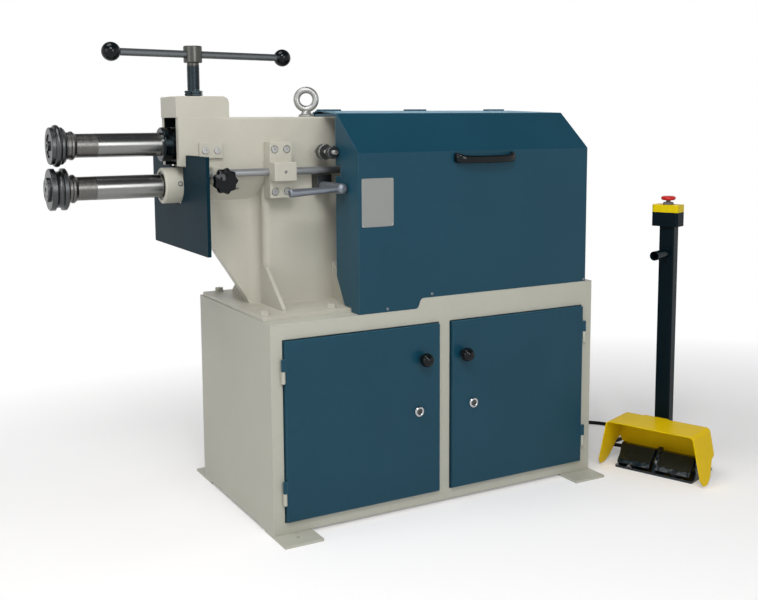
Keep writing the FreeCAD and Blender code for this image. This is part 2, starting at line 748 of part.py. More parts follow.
def casting_arm():
    """Arm section: square shoulders above, sloping at 45 degrees to the web below."""
    web_drop = ARM_SHOULDER_Z - (FRAME_HALF_WIDTH - WEB_HALF_WIDTH)
    near_web = SPINDLE_Y - WEB_HALF_WIDTH
    far_web = SPINDLE_Y + WEB_HALF_WIDTH
    outline = [
        (FRAME_NEAR_Y, ARM_TOP_Z), (FRAME_NEAR_Y, ARM_SHOULDER_Z), (near_web, web_drop),
        (far_web, web_drop), (FRAME_FAR_Y, ARM_SHOULDER_Z), (FRAME_FAR_Y, ARM_TOP_Z),
    ]
    top = ARM_TOP_RADIUS
    shoulder = ARM_SHOULDER_RADIUS
    return prism_yz(outline, ARM_FRONT_X, COLUMN_END_X, [top, shoulder, 0, 0, shoulder, top])


def casting_head():
    head = box(HEAD_FRONT_X, HEAD_FRONT_X + HEAD_LENGTH, FRAME_NEAR_Y, FRAME_FAR_Y,
               HEAD_BOTTOM_Z, ARM_TOP_Z)
    end_x = CAP_FRONT_X + CAP_LENGTH
    low = ARM_TOP_Z - OVERLAP
    outline = [(CAP_FRONT_X, low), (CAP_FRONT_X, CAP_TOP_Z), (end_x, CAP_TOP_Z), (end_x, low)]
    cap = prism_xz(outline, SPINDLE_Y - CAP_HALF_WIDTH, SPINDLE_Y + CAP_HALF_WIDTH,
                   [0, 4, CAP_END_RADIUS, 0])
    nose = rod_x(NOSE_RADIUS, NOSE_FRONT_X, ARM_FRONT_X + OVERLAP, SPINDLE_Y, LOWER_Z)
    rim = [e for e in nose.Edges if e.BoundBox.XMax < NOSE_FRONT_X + 0.01]
    nose = nose.makeChamfer(3, rim)
    plate_z = UPPER_Z - SIDE_PLATE_DROP
    side_plate = box(SIDE_PLATE_X, SIDE_PLATE_X + SIDE_PLATE_LENGTH,
                     FRAME_NEAR_Y - SIDE_PLATE_THICKNESS, FRAME_NEAR_Y + OVERLAP,
                     plate_z - SIDE_PLATE_HEIGHT / 2, plate_z + SIDE_PLATE_HEIGHT / 2)
    clamp = box(STAR_X - CLAMP_WIDTH / 2, STAR_X + CLAMP_WIDTH / 2, ROD_Y - ROD_RADIUS - 8,
                FRAME_NEAR_Y + 10, STAR_Z - 12, ROD_Z + ROD_RADIUS + 8)
    return [head, cap, nose, side_plate, clamp]


def casting_web():
    """Web under the arm, with its slanted front edge."""
    inside = COLUMN_X + 2 * CORE_WALL
    top = ARM_SHOULDER_Z - FRAME_HALF_WIDTH + WEB_HALF_WIDTH + 10
    outline = [(inside, LOW_TOP_Z + OVERLAP)]
    for x, height in WEB_EDGE:
        outline.append((COLUMN_X + x, LOW_TOP_Z + height))
    outline += [(COLUMN_X + WEB_EDGE[-1][0], top), (inside, top)]
    radii = [0, 10, 20, 30, 10, 0, 0]
    return prism_xz(outline, SPINDLE_Y - WEB_HALF_WIDTH, SPINDLE_Y + WEB_HALF_WIDTH, radii)


def web_fillet():
    """Concave corner between the web and the column's front edge."""
    top = ARM_SHOULDER_Z - 30
    wall = SPINDLE_Y - WEB_HALF_WIDTH
    block = box(COLUMN_X - WEB_FILLET, COLUMN_X + 5, wall - WEB_FILLET, wall + 5, LOW_TOP_Z + 1, top)
    hollow = rod_z(WEB_FILLET, LOW_TOP_Z, top + 1, COLUMN_X - WEB_FILLET, wall - WEB_FILLET)
    return block.cut(hollow)


def gusset(x):
    foot = FRAME_NEAR_Y - GUSSET_REACH
    low = LOW_TOP_Z + BASE_PLATE_THICKNESS - 1
    high = low + GUSSET_HEIGHT
    outline = [(foot, low), (foot, low + 9), (FRAME_NEAR_Y, high), (SPINDLE_Y, high), (SPINDLE_Y, low)]
    return prism_yz(outline, x, x + GUSSET_THICKNESS, [0, 3, 10, 0, 0])


def casting_column():
    outline = [
        (COLUMN_X, FRAME_NEAR_Y), (COLUMN_END_X, FRAME_NEAR_Y),
        (COLUMN_END_X, FRAME_FAR_Y), (COLUMN_X, FRAME_FAR_Y),
    ]
    radii = [COLUMN_EDGE_RADIUS, 0, 0, COLUMN_EDGE_RADIUS]
    return prism_xy(outline, LOW_TOP_Z + OVERLAP, ARM_SHOULDER_Z + CORE_WALL, radii)


def casting_hollows():
    tunnel_end = COLUMN_END_X + 1
    head_front = HEAD_FRONT_X - 1
    slot_near = SPINDLE_Y - SLOT_HALF_WIDTH
    slot_far = SPINDLE_Y + SLOT_HALF_WIDTH
    hollows = [
        box(COLUMN_X + CORE_WALL, COLUMN_END_X - CORE_WALL,
            FRAME_NEAR_Y + CORE_WALL, FRAME_FAR_Y - CORE_WALL,
            LOW_TOP_Z - 1, LOWER_Z - BUSH_RADIUS - CORE_WALL),
        box(head_front, tunnel_end, slot_near, slot_far, TUNNEL_FLOOR_Z, TUNNEL_ROOF_Z),
        box(head_front, HEAD_FRONT_X + HEAD_SLOT_LENGTH, slot_near, slot_far,
            HEAD_BOTTOM_Z - 1, TUNNEL_FLOOR_Z + 1),
        box(head_front, HEAD_FRONT_X + HEAD_LENGTH + 12, slot_near, slot_far,
            TUNNEL_ROOF_Z - 1, ARM_TOP_Z),
        rod_x(SHAFT_TUNNEL_RADIUS, NOSE_FRONT_X - 1, tunnel_end, SPINDLE_Y, LOWER_Z),
        rod_z(LIFT_NUT_RADIUS, ARM_TOP_Z - 1, CAP_TOP_Z + 1, SCREW_X, SPINDLE_Y),
        rod_x(ROD_RADIUS + RUNNING_FIT, STOP_FACE_X, STAR_X + CLAMP_WIDTH, ROD_Y, ROD_Z),
        box(STAR_X - CLAMP_WIDTH, STAR_X + CLAMP_WIDTH, ROD_Y - 1, ROD_Y + 1, STAR_Z - 13, ROD_Z),
        rod_y(STAR_STUD_RADIUS + RUNNING_FIT, STAR_Y, FRAME_NEAR_Y - 2, STAR_X, STAR_Z),
        rod_y(ADJUSTER_STUD_RADIUS + RUNNING_FIT, FRAME_NEAR_Y - 1,
              FRAME_NEAR_Y + STUD_HOLE_DEPTH, ADJUSTER_X, ADJUSTER_Z),
        rod_z(EYE_STUD_RADIUS + BOLT_CLEARANCE, ARM_TOP_Z - EYE_STUD_LENGTH - 2, ARM_TOP_Z + 1,
              EYE_X, SPINDLE_Y),
        rod_x(BUSH_RADIUS, NOSE_FRONT_X - 1, FRONT_BUSH_END_X, SPINDLE_Y, LOWER_Z),
        rod_x(BUSH_RADIUS, COLUMN_END_X - REAR_BUSH_LENGTH, tunnel_end, SPINDLE_Y, LOWER_Z),
    ]
    for x, y in base_bolt_places():
        hollows.append(rod_z(BASE_BOLT_RADIUS + BOLT_CLEARANCE, LOW_TOP_Z - 1,
                             LOW_TOP_Z + BASE_PLATE_THICKNESS + 1, x, y))
    return hollows


def machine_casting():
    half = BASE_PLATE_HALF_DEPTH
    plate = box(BASE_PLATE_X, BASE_PLATE_X + BASE_PLATE_LENGTH, SPINDLE_Y - half, SPINDLE_Y + half,
                LOW_TOP_Z, LOW_TOP_Z + BASE_PLATE_THICKNESS)
    upright = [e for e in plate.Edges if e.BoundBox.ZLength > BASE_PLATE_THICKNESS / 2]
    plate = plate.makeFillet(6, upright)
    fillet = web_fillet()
    pieces = [plate, casting_column(), casting_arm(), casting_web(), fillet, mirrored(fillet)]
    pieces += casting_head()
    for x in GUSSET_XS:
        rib = gusset(x)
        pieces += [rib, mirrored(rib)]
    return cut(joined(pieces), casting_hollows())


def base_bolts():
    bolts = []
    under = LOW_TOP_Z - SHEET
    top = LOW_TOP_Z + BASE_PLATE_THICKNESS
    seat = top + BASE_WASHER_THICKNESS
    for x, y in base_bolt_places():
        bolts.append(joined([
            rod_z(BASE_WASHER_RADIUS, top, seat, x, y),
            hexagon(BASE_BOLT_FLATS, V(x, y, seat), V(x, y, seat + BASE_BOLT_HEAD)),
            rod_z(BASE_BOLT_RADIUS, under - BASE_NUT_HEIGHT - 7, seat + OVERLAP, x, y),
            hexagon(BASE_BOLT_FLATS, V(x, y, under - BASE_NUT_HEIGHT), V(x, y, under)),
        ]))
    return bolts


def lower_spindle_bushes():
    bushes = []
    front = (NOSE_FRONT_X + FRONT_BUSH_SETBACK, FRONT_BUSH_END_X)
    rear = (COLUMN_END_X - REAR_BUSH_LENGTH, COLUMN_END_X)
    for start, finish in (front, rear):
        outer = rod_x(BUSH_RADIUS, start, finish, SPINDLE_Y, LOWER_Z)
        bore = rod_x(SHAFT_RADIUS + RUNNING_FIT, start - 1, finish + 1, SPINDLE_Y, LOWER_Z)
        bushes.append(outer.cut(bore))
    return bushes


# Spindles and rolls

def along_x(profile, x, z):
    """Turned piece on a spindle line; lengths of the outline run toward the motor."""
    return turned(profile, V(x, SPINDLE_Y, z), X_AXIS)


def spindle(face_x, shoulder_x, z, rear_x):
    seat_end = face_x + RECESS_DEPTH
    seat = rod_x(ROLL_SEAT_RADIUS, seat_end, shoulder_x, SPINDLE_Y, z)
    body = rod_x(SHAFT_RADIUS, shoulder_x, GEAR_X - GAP, SPINDLE_Y, z)
    gear_seat = rod_x(GEAR_SEAT_RADIUS, GEAR_X - 1, PIVOT_X - STAND_HALF_THICKNESS - 3, SPINDLE_Y, z)
    journal = rod_x(REAR_JOURNAL_RADIUS, PIVOT_X - STAND_HALF_THICKNESS - 4, rear_x, SPINDLE_Y, z)
    return joined([seat, body, gear_seat, journal])


def upper_shaft():
    return spindle(ROLL_FACE_X, SHOULDER_X, UPPER_Z, PIVOT_X + SWIVEL_HALF_WIDTH + 6)


def lower_shaft():
    return spindle(LOWER_ROLL_FACE_X, LOWER_SHOULDER_X, LOWER_Z, COUPLING_X + COUPLING_HUB_LENGTH)


def upper_roll():
    """Beading roll: a plain cylinder with a raised round bead."""
    seat = ROLL_SEAT_RADIUS
    hub_end = ROLL_HUB_END_X - ROLL_FACE_X
    body = along_x([(seat, RECESS_DEPTH), (RECESS_RADIUS, RECESS_DEPTH), (RECESS_RADIUS, 0),
                    (ROLL_CORE_RADIUS - 2, 0), (ROLL_CORE_RADIUS, 2), (ROLL_CORE_RADIUS, ROLL_WIDTH - 7),
                    (ROLL_CORE_RADIUS - 6, ROLL_WIDTH), (ROLL_HUB_RADIUS, ROLL_WIDTH + 1),
                    (ROLL_HUB_RADIUS, hub_end), (seat, hub_end)], ROLL_FACE_X, UPPER_Z)
    rise = ROLL_RIM_RADIUS - ROLL_CORE_RADIUS
    bead_radius = (rise ** 2 + (BEAD_WIDTH / 2) ** 2) / (2 * rise)
    bead = Part.makeTorus(ROLL_RIM_RADIUS - bead_radius, bead_radius,
                          V(ROLL_FACE_X + BEAD_SETBACK, SPINDLE_Y, UPPER_Z), X_AXIS)
    inner = rod_x(seat + 4, ROLL_FACE_X + 8, ROLL_FACE_X + ROLL_WIDTH - 8, SPINDLE_Y, UPPER_Z)
    return joined([body, bead.cut(inner)])


def lower_roll():
    """Matching roll, with a round groove in line with the bead."""
    seat = ROLL_SEAT_RADIUS
    hub_end = ROLL_HUB_END_X - LOWER_ROLL_FACE_X
    rim = ROLL_RIM_RADIUS
    width = LOWER_ROLL_WIDTH
    body = along_x([(seat, 0), (rim - 2, 0), (rim, 2), (rim, width - 4), (rim - 5, width),
                    (ROLL_HUB_RADIUS, width + 1), (ROLL_HUB_RADIUS, hub_end), (seat, hub_end)],
                   LOWER_ROLL_FACE_X, LOWER_Z)
    half = GROOVE_WIDTH / 2
    groove_radius = (GROOVE_DEPTH ** 2 + half ** 2) / (2 * GROOVE_DEPTH)
    ring = rim - GROOVE_DEPTH + groove_radius
    middle = V(ROLL_FACE_X + BEAD_SETBACK, SPINDLE_Y, LOWER_Z)
    groove = Part.makeTorus(ring, groove_radius, middle, X_AXIS)
    return body.cut(groove)


def roll_spacer(shoulder_x, z):
    """Flanged collar behind a roll, and the blackened sleeve up to the shaft's shoulder."""
    length = shoulder_x - ROLL_HUB_END_X
    mid = COLLAR_LENGTH / 2
    return along_x([(ROLL_SEAT_RADIUS, 0), (ROLL_HUB_RADIUS, 0), (ROLL_HUB_RADIUS, mid - 4),
                    (COLLAR_RADIUS, mid - 2), (COLLAR_RADIUS, mid + 4),
                    (SLEEVE_RADIUS + 1, COLLAR_LENGTH), (SLEEVE_RADIUS, COLLAR_LENGTH + 1),
                    (SLEEVE_RADIUS, length), (ROLL_SEAT_RADIUS, length)], ROLL_HUB_END_X, z)


def upper_roll_nut():
    face = ROLL_FACE_X + RECESS_DEPTH
    washer = rod_x(RECESS_RADIUS - 2.5, face - 5, face, SPINDLE_Y, UPPER_Z)
    head = rod_x(ROLL_NUT_RADIUS, face - 13, face - 4, SPINDLE_Y, UPPER_Z)
    socket = hexagon(ROLL_NUT_FLATS, V(face - 14, SPINDLE_Y, UPPER_Z), V(face - 7, SPINDLE_Y, UPPER_Z))
    return joined([washer, head]).cut(socket)


def lower_roll_cap():
    face = LOWER_ROLL_FACE_X
    front = face - LOWER_CAP_THICKNESS
    cap = rod_x(LOWER_CAP_RADIUS, front, face, SPINDLE_Y, LOWER_Z)
    rim = [e for e in cap.Edges if e.BoundBox.XMax < front + 0.01]
    cap = cap.makeChamfer(1.5, rim)
    spigot = rod_x(ROLL_SEAT_RADIUS, face - 1, face + RECESS_DEPTH, SPINDLE_Y, LOWER_Z)
    holes = [rod_x(CAP_CENTRE_RADIUS, front - 1, face - 2, SPINDLE_Y, LOWER_Z)]
    reach = LOWER_CAP_RADIUS - 10
    for i in range(4):
        angle = math.radians(45 + 90 * i)
        holes.append(rod_x(CAP_HOLE_RADIUS, front - 1, face - 2,
                           SPINDLE_Y + reach * math.cos(angle), LOWER_Z + reach * math.sin(angle)))
    return cut(joined([cap, spigot]), holes)


def gear(z):
    """Spur gear with involute flanks, a tooth pointing straight up."""
    pressure = math.radians(PRESSURE_ANGLE)
    base = GEAR_PITCH_RADIUS * math.cos(pressure)
    tip = GEAR_PITCH_RADIUS + GEAR_MODULE
    root = GEAR_PITCH_RADIUS - 1.35 * GEAR_MODULE
    half_tooth = math.pi / (2 * GEAR_TEETH) - GEAR_BACKLASH / (4 * GEAR_PITCH_RADIUS)

    def flank(radius):
        local = math.acos(min(1.0, base / radius))
        return half_tooth + (math.tan(pressure) - pressure) - (math.tan(local) - local)

    def spot(radius, angle):
        return V(GEAR_X, SPINDLE_Y + radius * math.sin(angle), z + radius * math.cos(angle))

    start = base + 0.05
    middle = (start + tip) / 2
    edges = []
    for tooth in range(GEAR_TEETH):
        axis = 2 * math.pi * tooth / GEAR_TEETH
        pitch = 2 * math.pi / GEAR_TEETH
        left = [spot(r, axis - flank(r)) for r in (start, middle, tip)]
        right = [spot(r, axis + flank(r)) for r in (tip, middle, start)]
        foot_left = spot(root, axis - flank(start))
        foot_right = spot(root, axis + flank(start))
        following = spot(root, axis + pitch - flank(start))
        edges += [
            Part.LineSegment(foot_left, left[0]).toShape(),
            Part.Arc(*left).toShape(),
            Part.LineSegment(left[2], right[0]).toShape(),
            Part.Arc(*right).toShape(),
            Part.LineSegment(right[2], foot_right).toShape(),
            Part.LineSegment(foot_right, following).toShape(),
        ]
    blank = Part.Face(Part.Wire(edges)).extrude(V(GEAR_WIDTH, 0, 0))
    return blank.cut(rod_x(GEAR_SEAT_RADIUS, GEAR_X - 1, GEAR_X + GEAR_WIDTH + 1, SPINDLE_Y, z))


def upper_bearing_block():
    half = SLOT_HALF_WIDTH - GAP
    end = HEAD_FRONT_X + BLOCK_LENGTH
    block = box(HEAD_FRONT_X + 1, end, SPINDLE_Y - half, SPINDLE_Y + half,
                UPPER_Z - BLOCK_HALF_HEIGHT, UPPER_Z + BLOCK_HALF_HEIGHT)
    flange = rod_x(FLANGE_RADIUS, FLANGE_FRONT_X, HEAD_FRONT_X - 4, SPINDLE_Y, UPPER_Z)
    rim = [e for e in flange.Edges if e.BoundBox.XMax < FLANGE_FRONT_X + 0.01]
    flange = flange.makeFillet(5, rim)
    neck = rod_x(FLANGE_RADIUS - 6, HEAD_FRONT_X - 5, HEAD_FRONT_X + 2, SPINDLE_Y, UPPER_Z)
    bore = rod_x(SHAFT_RADIUS + RUNNING_FIT, FLANGE_FRONT_X - 1, end + 1, SPINDLE_Y, UPPER_Z)
    return joined([block, flange, neck]).cut(bore)


def upper_swivel_bearing():
    """Ring with a spherical rim; the upper spindle tips about its centre."""
    ball = Part.makeSphere(SWIVEL_RADIUS, V(PIVOT_X, SPINDLE_Y, UPPER_Z))
    x0 = PIVOT_X - SWIVEL_HALF_WIDTH
    x1 = PIVOT_X + SWIVEL_HALF_WIDTH
    slab = rod_x(SWIVEL_RADIUS + 1, x0, x1, SPINDLE_Y, UPPER_Z)
    bore = rod_x(REAR_JOURNAL_RADIUS + RUNNING_FIT, x0 - 1, x1 + 1, SPINDLE_Y, UPPER_Z)
    return ball.common(slab).cut(bore)


def bearing_stand():
    x0 = PIVOT_X - STAND_HALF_THICKNESS
    x1 = PIVOT_X + STAND_HALF_THICKNESS
    head = UPPER_Z + STAND_HEAD_HALF
    waist = LOWER_Z - STAND_WAIST_DROP
    foot_top = LOW_TOP_Z + STAND_FOOT_THICKNESS
    low = foot_top - OVERLAP
    outline = [
        (SPINDLE_Y - STAND_LEG_HALF, low), (SPINDLE_Y - STAND_HEAD_HALF, waist),
        (SPINDLE_Y - STAND_HEAD_HALF, head), (SPINDLE_Y + STAND_HEAD_HALF, head),
        (SPINDLE_Y + STAND_HEAD_HALF, waist), (SPINDLE_Y + STAND_LEG_HALF, low),
    ]
    upright = prism_yz(outline, x0, x1, [0, 40, 40, 40, 40, 0])
    foot = box(x0 - STAND_FOOT_REACH, x1 + 3, SPINDLE_Y - STAND_FOOT_HALF,
               SPINDLE_Y + STAND_FOOT_HALF, LOW_TOP_Z, foot_top)
    rib_line = [(x0 + 5, low), (x0 + 2 - STAND_FOOT_REACH, low), (x0 + 5, LOWER_Z - STAND_RIB_DROP)]
    rib = prism_xz(rib_line, SPINDLE_Y - STAND_RIB_HALF, SPINDLE_Y + STAND_RIB_HALF)
    bore = rod_x(REAR_JOURNAL_RADIUS + RUNNING_FIT, x0 - 1, x1 + 1, SPINDLE_Y, LOWER_Z)
    seat = Part.makeSphere(SWIVEL_RADIUS + RUNNING_FIT, V(PIVOT_X, SPINDLE_Y, UPPER_Z))
    return cut(joined([upright, foot, rib]), [bore, seat])


def shaft_coupling():
    """Two hubs and the elastic spider between them; the far hub ends in the gearbox."""
    near_end = COUPLING_X + COUPLING_HUB_LENGTH
    far = near_end + SPIDER_LENGTH
    far_end = far + COUPLING_HUB_LENGTH
    near = rod_x(COUPLING_RADIUS, COUPLING_X, near_end, SPINDLE_Y, LOWER_Z)
    near = near.cut(rod_x(REAR_JOURNAL_RADIUS, COUPLING_X - 1, near_end + 1, SPINDLE_Y, LOWER_Z))
    spider = rod_x(COUPLING_RADIUS - 3, near_end, far, SPINDLE_Y, LOWER_Z)
    hub = rod_x(COUPLING_RADIUS, far, far_end, SPINDLE_Y, LOWER_Z)
    output = rod_x(OUTPUT_RADIUS, far_end - 1, GEARBOX_X + 12, SPINDLE_Y, LOWER_Z)
    return [near, spider, joined([hub, output])]


# Pressure screw

PAD_BOTTOM_Z = UPPER_Z + BLOCK_HALF_HEIGHT + GAP
PAD_TOP_Z = PAD_BOTTOM_Z + PAD_THICKNESS
SCREW_BOTTOM_Z = PAD_TOP_Z + GAP
HUB_CENTRE_Z = SCREW_TOP_Z + HUB_HEIGHT / 2


def lift_nut():
    nut = rod_z(LIFT_NUT_RADIUS, ARM_TOP_Z, CAP_TOP_Z - 1, SCREW_X, SPINDLE_Y)
    return nut.cut(rod_z(SCREW_RADIUS + RUNNING_FIT, ARM_TOP_Z - 1, CAP_TOP_Z + 1, SCREW_X, SPINDLE_Y))


def lift_screw():
    stem = rod_z(SCREW_RADIUS, SCREW_BOTTOM_Z, SCREW_TOP_Z + 1, SCREW_X, SPINDLE_Y)
    hub = rod_z(HUB_RADIUS, SCREW_TOP_Z, SCREW_TOP_Z + HUB_HEIGHT, SCREW_X, SPINDLE_Y)
    hub = hub.makeChamfer(2, [e for e in hub.Edges if e.BoundBox.ZLength < 0.01])
    socket = rod_z(SPIGOT_RADIUS + RUNNING_FIT, SCREW_BOTTOM_Z - 1, SCREW_BOTTOM_Z + SPIGOT_LENGTH,
                   SCREW_X, SPINDLE_Y)
    cross = rod(BAR_RADIUS + RUNNING_FIT, bar_point(-HUB_RADIUS - 1), bar_point(HUB_RADIUS + 1))
    return cut(joined([stem, hub]), [socket, cross])


def bar_point(reach):
    angle = math.radians(BAR_ANGLE)
    return V(SCREW_X + reach * math.cos(angle), SPINDLE_Y + reach * math.sin(angle), HUB_CENTRE_Z)


def bar_balls():
    bar = tommy_bar()
    return [Part.makeSphere(BALL_RADIUS, bar_point(-BAR_LEFT)).cut(bar),
            Part.makeSphere(BALL_RADIUS, bar_point(BAR_RIGHT)).cut(bar)]


def tommy_bar():
    return rod(BAR_RADIUS, bar_point(-BAR_LEFT), bar_point(BAR_RIGHT))


def screw_jam_nuts():
    nuts = []
    bore = rod_z(SCREW_RADIUS, CAP_TOP_Z, SCREW_TOP_Z, SCREW_X, SPINDLE_Y)
    flat = JAM_NUT_FLATS / 2
    thick = JAM_NUT_THICKNESS
    chamfer = JAM_NUT_CHAMFER
    rim = flat + 4
    outline = [(0, 0), (flat, 0), (rim, chamfer), (rim, thick - chamfer), (flat, thick), (0, thick)]
    for i in range(2):
        start = V(SCREW_X, SPINDLE_Y, CAP_TOP_Z + SCREW_DOWN_TRAVEL + i * (thick + BOLT_CLEARANCE))
        nut = hexagon(JAM_NUT_FLATS, start, start + Z_AXIS * thick)
        nuts.append(nut.common(turned(outline, start, Z_AXIS)).cut(bore))
    return nuts


def thrust_pad():
    body = rod_z(PAD_RADIUS, PAD_BOTTOM_Z, PAD_TOP_Z, SCREW_X, SPINDLE_Y)
    dome = Part.makeSphere(PAD_DOME_RADIUS, V(SCREW_X, SPINDLE_Y, PAD_BOTTOM_Z + PAD_DOME_RADIUS))
    spigot = rod_z(SPIGOT_RADIUS, PAD_TOP_Z - 1, PAD_TOP_Z + SPIGOT_LENGTH, SCREW_X, SPINDLE_Y)
    return joined([body.common(dome), spigot])


# Depth stop

def stop_plate():
    outline = [(STOP_NEAR_Y, STOP_BOTTOM_Z), (STOP_FAR_Y, STOP_BOTTOM_Z),
               (STOP_FAR_Y, STOP_TOP_Z), (STOP_NEAR_Y, STOP_TOP_Z)]
    x1 = STOP_FACE_X + STOP_THICKNESS
    plate = prism_yz(outline, STOP_FACE_X, x1, flat_radii(outline, STOP_CORNER_RADIUS))
    notch = box(STOP_FACE_X - 1, x1 + 1, FRAME_NEAR_Y - STOP_CLEARANCE, FRAME_FAR_Y + STOP_CLEARANCE,
                HEAD_BOTTOM_Z - STOP_CLEARANCE, STOP_TOP_Z + 1)
    nose = rod_x(NOSE_RADIUS + STOP_CLEARANCE, STOP_FACE_X - 1, x1 + 1, SPINDLE_Y, LOWER_Z)
    throat = box(STOP_FACE_X - 1, x1 + 1, SPINDLE_Y - NOSE_RADIUS, SPINDLE_Y + NOSE_RADIUS,
                 LOWER_Z, STOP_TOP_Z)
    seat = rod_x(ROD_RADIUS, x1 - ROD_SEAT_DEPTH, x1 + 1, ROD_Y, ROD_Z)
    return cut(plate, [notch, nose, throat, seat])


def stop_rod():
    """Rod that carries the plate; its front end sits in a blind seat."""
    start = STOP_FACE_X + STOP_THICKNESS - ROD_SEAT_DEPTH
    stem = rod_x(ROD_RADIUS, start, ROD_END_X, ROD_Y, ROD_Z)
    tip = [e for e in stem.Edges if e.BoundBox.XMin > ROD_END_X - 0.01]
    return stem.makeChamfer(2, tip)


def bracket_screw_places():
    middle = BRACKET_X + BRACKET_LENGTH / 2
    half = BRACKET_SCREW_SPACING / 2
    return [(x, ROD_Z + z) for x in (middle - half, middle + half) for z in BRACKET_SCREWS_Z]


def rod_bracket():
    """Base screwed to the casting and a block on it that guides the rod."""
    x1 = BRACKET_X + BRACKET_LENGTH
    base_y = FRAME_NEAR_Y - BRACKET_BASE
    block_y = base_y - BRACKET_BLOCK
    base = box(BRACKET_X, x1, base_y, FRAME_NEAR_Y, ROD_Z - BRACKET_BELOW, ROD_Z + BRACKET_ABOVE)
    front = box(BRACKET_X, x1, block_y, base_y + OVERLAP, ROD_Z - BLOCK_BELOW, ROD_Z + BLOCK_ABOVE)
    rim = [e for e in front.Edges if e.BoundBox.YMax < block_y + 0.01]
    front = front.makeFillet(2, rim)
    bore = rod_x(ROD_RADIUS + RUNNING_FIT, BRACKET_X - 1, x1 + 1, ROD_Y, ROD_Z)
    pinch = rod_y(5, block_y - 1, ROD_Y, BRACKET_X + BRACKET_LENGTH / 2, ROD_Z)
    holes = [bore, pinch]
    for x, z in bracket_screw_places():
        holes.append(rod_y(COUNTERBORE_RADIUS, base_y - 1, base_y + SOCKET_HEAD_HEIGHT, x, z))
    return cut(joined([base, front]), holes)


def socket_screws():
    """Cap screws: four sunk in the rod bracket, two on the plate on the head's side."""
    screws = []
    sunk_y = FRAME_NEAR_Y - BRACKET_BASE + SOCKET_HEAD_HEIGHT
    plate_y = FRAME_NEAR_Y - SIDE_PLATE_THICKNESS
    plate_x = SIDE_PLATE_X + SIDE_PLATE_LENGTH / 2
    places = [(x, sunk_y, z) for x, z in bracket_screw_places()]
    for side in (-1, 1):
        places.append((plate_x + side * SIDE_SCREW_SPACING / 2, plate_y, UPPER_Z - SIDE_PLATE_DROP))
    for x, y, z in places:
        front = y - SOCKET_HEAD_HEIGHT
        head = rod_y(SOCKET_HEAD_RADIUS, front, y, x, z)
        head = head.makeFillet(1, [e for e in head.Edges if e.BoundBox.YMax < front + 0.1])
        socket = hexagon(SOCKET_FLATS, V(x, front - 1, z), V(x, y - 1, z))
        screws.append(head.cut(socket))
    return screws


def star_knob():
    """Lobed hand knob on a stud that pinches the clamp shut on the rod."""
    back_y = STAR_Y + 14
    lobe_radius = STAR_LOBE_RADIUS
    disc = rod_y(STAR_RADIUS - 4, STAR_Y - 13, STAR_Y + lobe_radius, STAR_X, STAR_Z)
    disc = disc.makeFillet(6, [e for e in disc.Edges if e.BoundBox.YLength < 0.01])
    flutes = []
    lobes = []
    for i in range(STAR_LOBES):
        angle = 2 * math.pi * (i + 0.5) / STAR_LOBES
        reach = STAR_RADIUS + 5
        x = STAR_X + reach * math.cos(angle)
        z = STAR_Z + reach * math.sin(angle)
        flutes.append(rod_y(lobe_radius, STAR_Y - 20, STAR_Y + 16, x, z))
        angle = 2 * math.pi * i / STAR_LOBES
        reach = STAR_RADIUS - lobe_radius
        x = STAR_X + reach * math.cos(angle)
        z = STAR_Z + reach * math.sin(angle)
        lobe = rod_y(lobe_radius, STAR_Y - lobe_radius, STAR_Y + lobe_radius, x, z)
        lobes.append(lobe.makeFillet(3, [e for e in lobe.Edges if e.BoundBox.YLength < 0.01]))
    hub = rod_y(15, STAR_Y + 8, back_y, STAR_X, STAR_Z)
    stud = rod_y(STAR_STUD_RADIUS, back_y - 1, FRAME_NEAR_Y - 12, STAR_X, STAR_Z)
    return joined([disc.cut(Part.makeCompound(flutes)), hub, stud] + lobes)


# Side controls and eye bolt

def lever_block():
    y = FRAME_NEAR_Y - LEVER_BLOCK_THICKNESS
    block = box(LEVER_X - LEVER_BLOCK_LEFT, LEVER_X + LEVER_BLOCK_RIGHT, y, FRAME_NEAR_Y,
                LEVER_Z - LEVER_BLOCK_BELOW, LEVER_Z + LEVER_BLOCK_ABOVE)
    bore = rod_y(LEVER_PIVOT_RADIUS + RUNNING_FIT, y - 1, FRAME_NEAR_Y, LEVER_X, LEVER_Z)
    return block.cut(bore)


def clamp_lever():
    """Hub bar standing out from the block, with the tapered handle across its end."""
    start = FRAME_NEAR_Y - LEVER_BLOCK_THICKNESS - GAP
    hub = rod_y(LEVER_HUB_RADIUS, LEVER_END_Y, start, LEVER_X, LEVER_Z)
    rim = [e for e in hub.Edges if e.BoundBox.YMax < LEVER_END_Y + 0.01]
    hub = hub.makeFillet(LEVER_ELBOW_RADIUS, rim)
    pivot = rod_y(LEVER_PIVOT_RADIUS, start - 1, FRAME_NEAR_Y - GAP, LEVER_X, LEVER_Z)
    tip = LEVER_TIP_RADIUS
    profile = [(0, 0), (LEVER_ROOT_RADIUS, 0), (LEVER_ROOT_RADIUS, 20), (tip, LEVER_LENGTH - 4),
               (tip - 2, LEVER_LENGTH), (0, LEVER_LENGTH)]
    slope = math.radians(LEVER_SLOPE)
    elbow = V(LEVER_X, LEVER_END_Y + LEVER_HUB_RADIUS, LEVER_Z)
    handle = turned(profile, elbow, V(-math.cos(slope), 0, -math.sin(slope)))
    return joined([hub, pivot, handle])


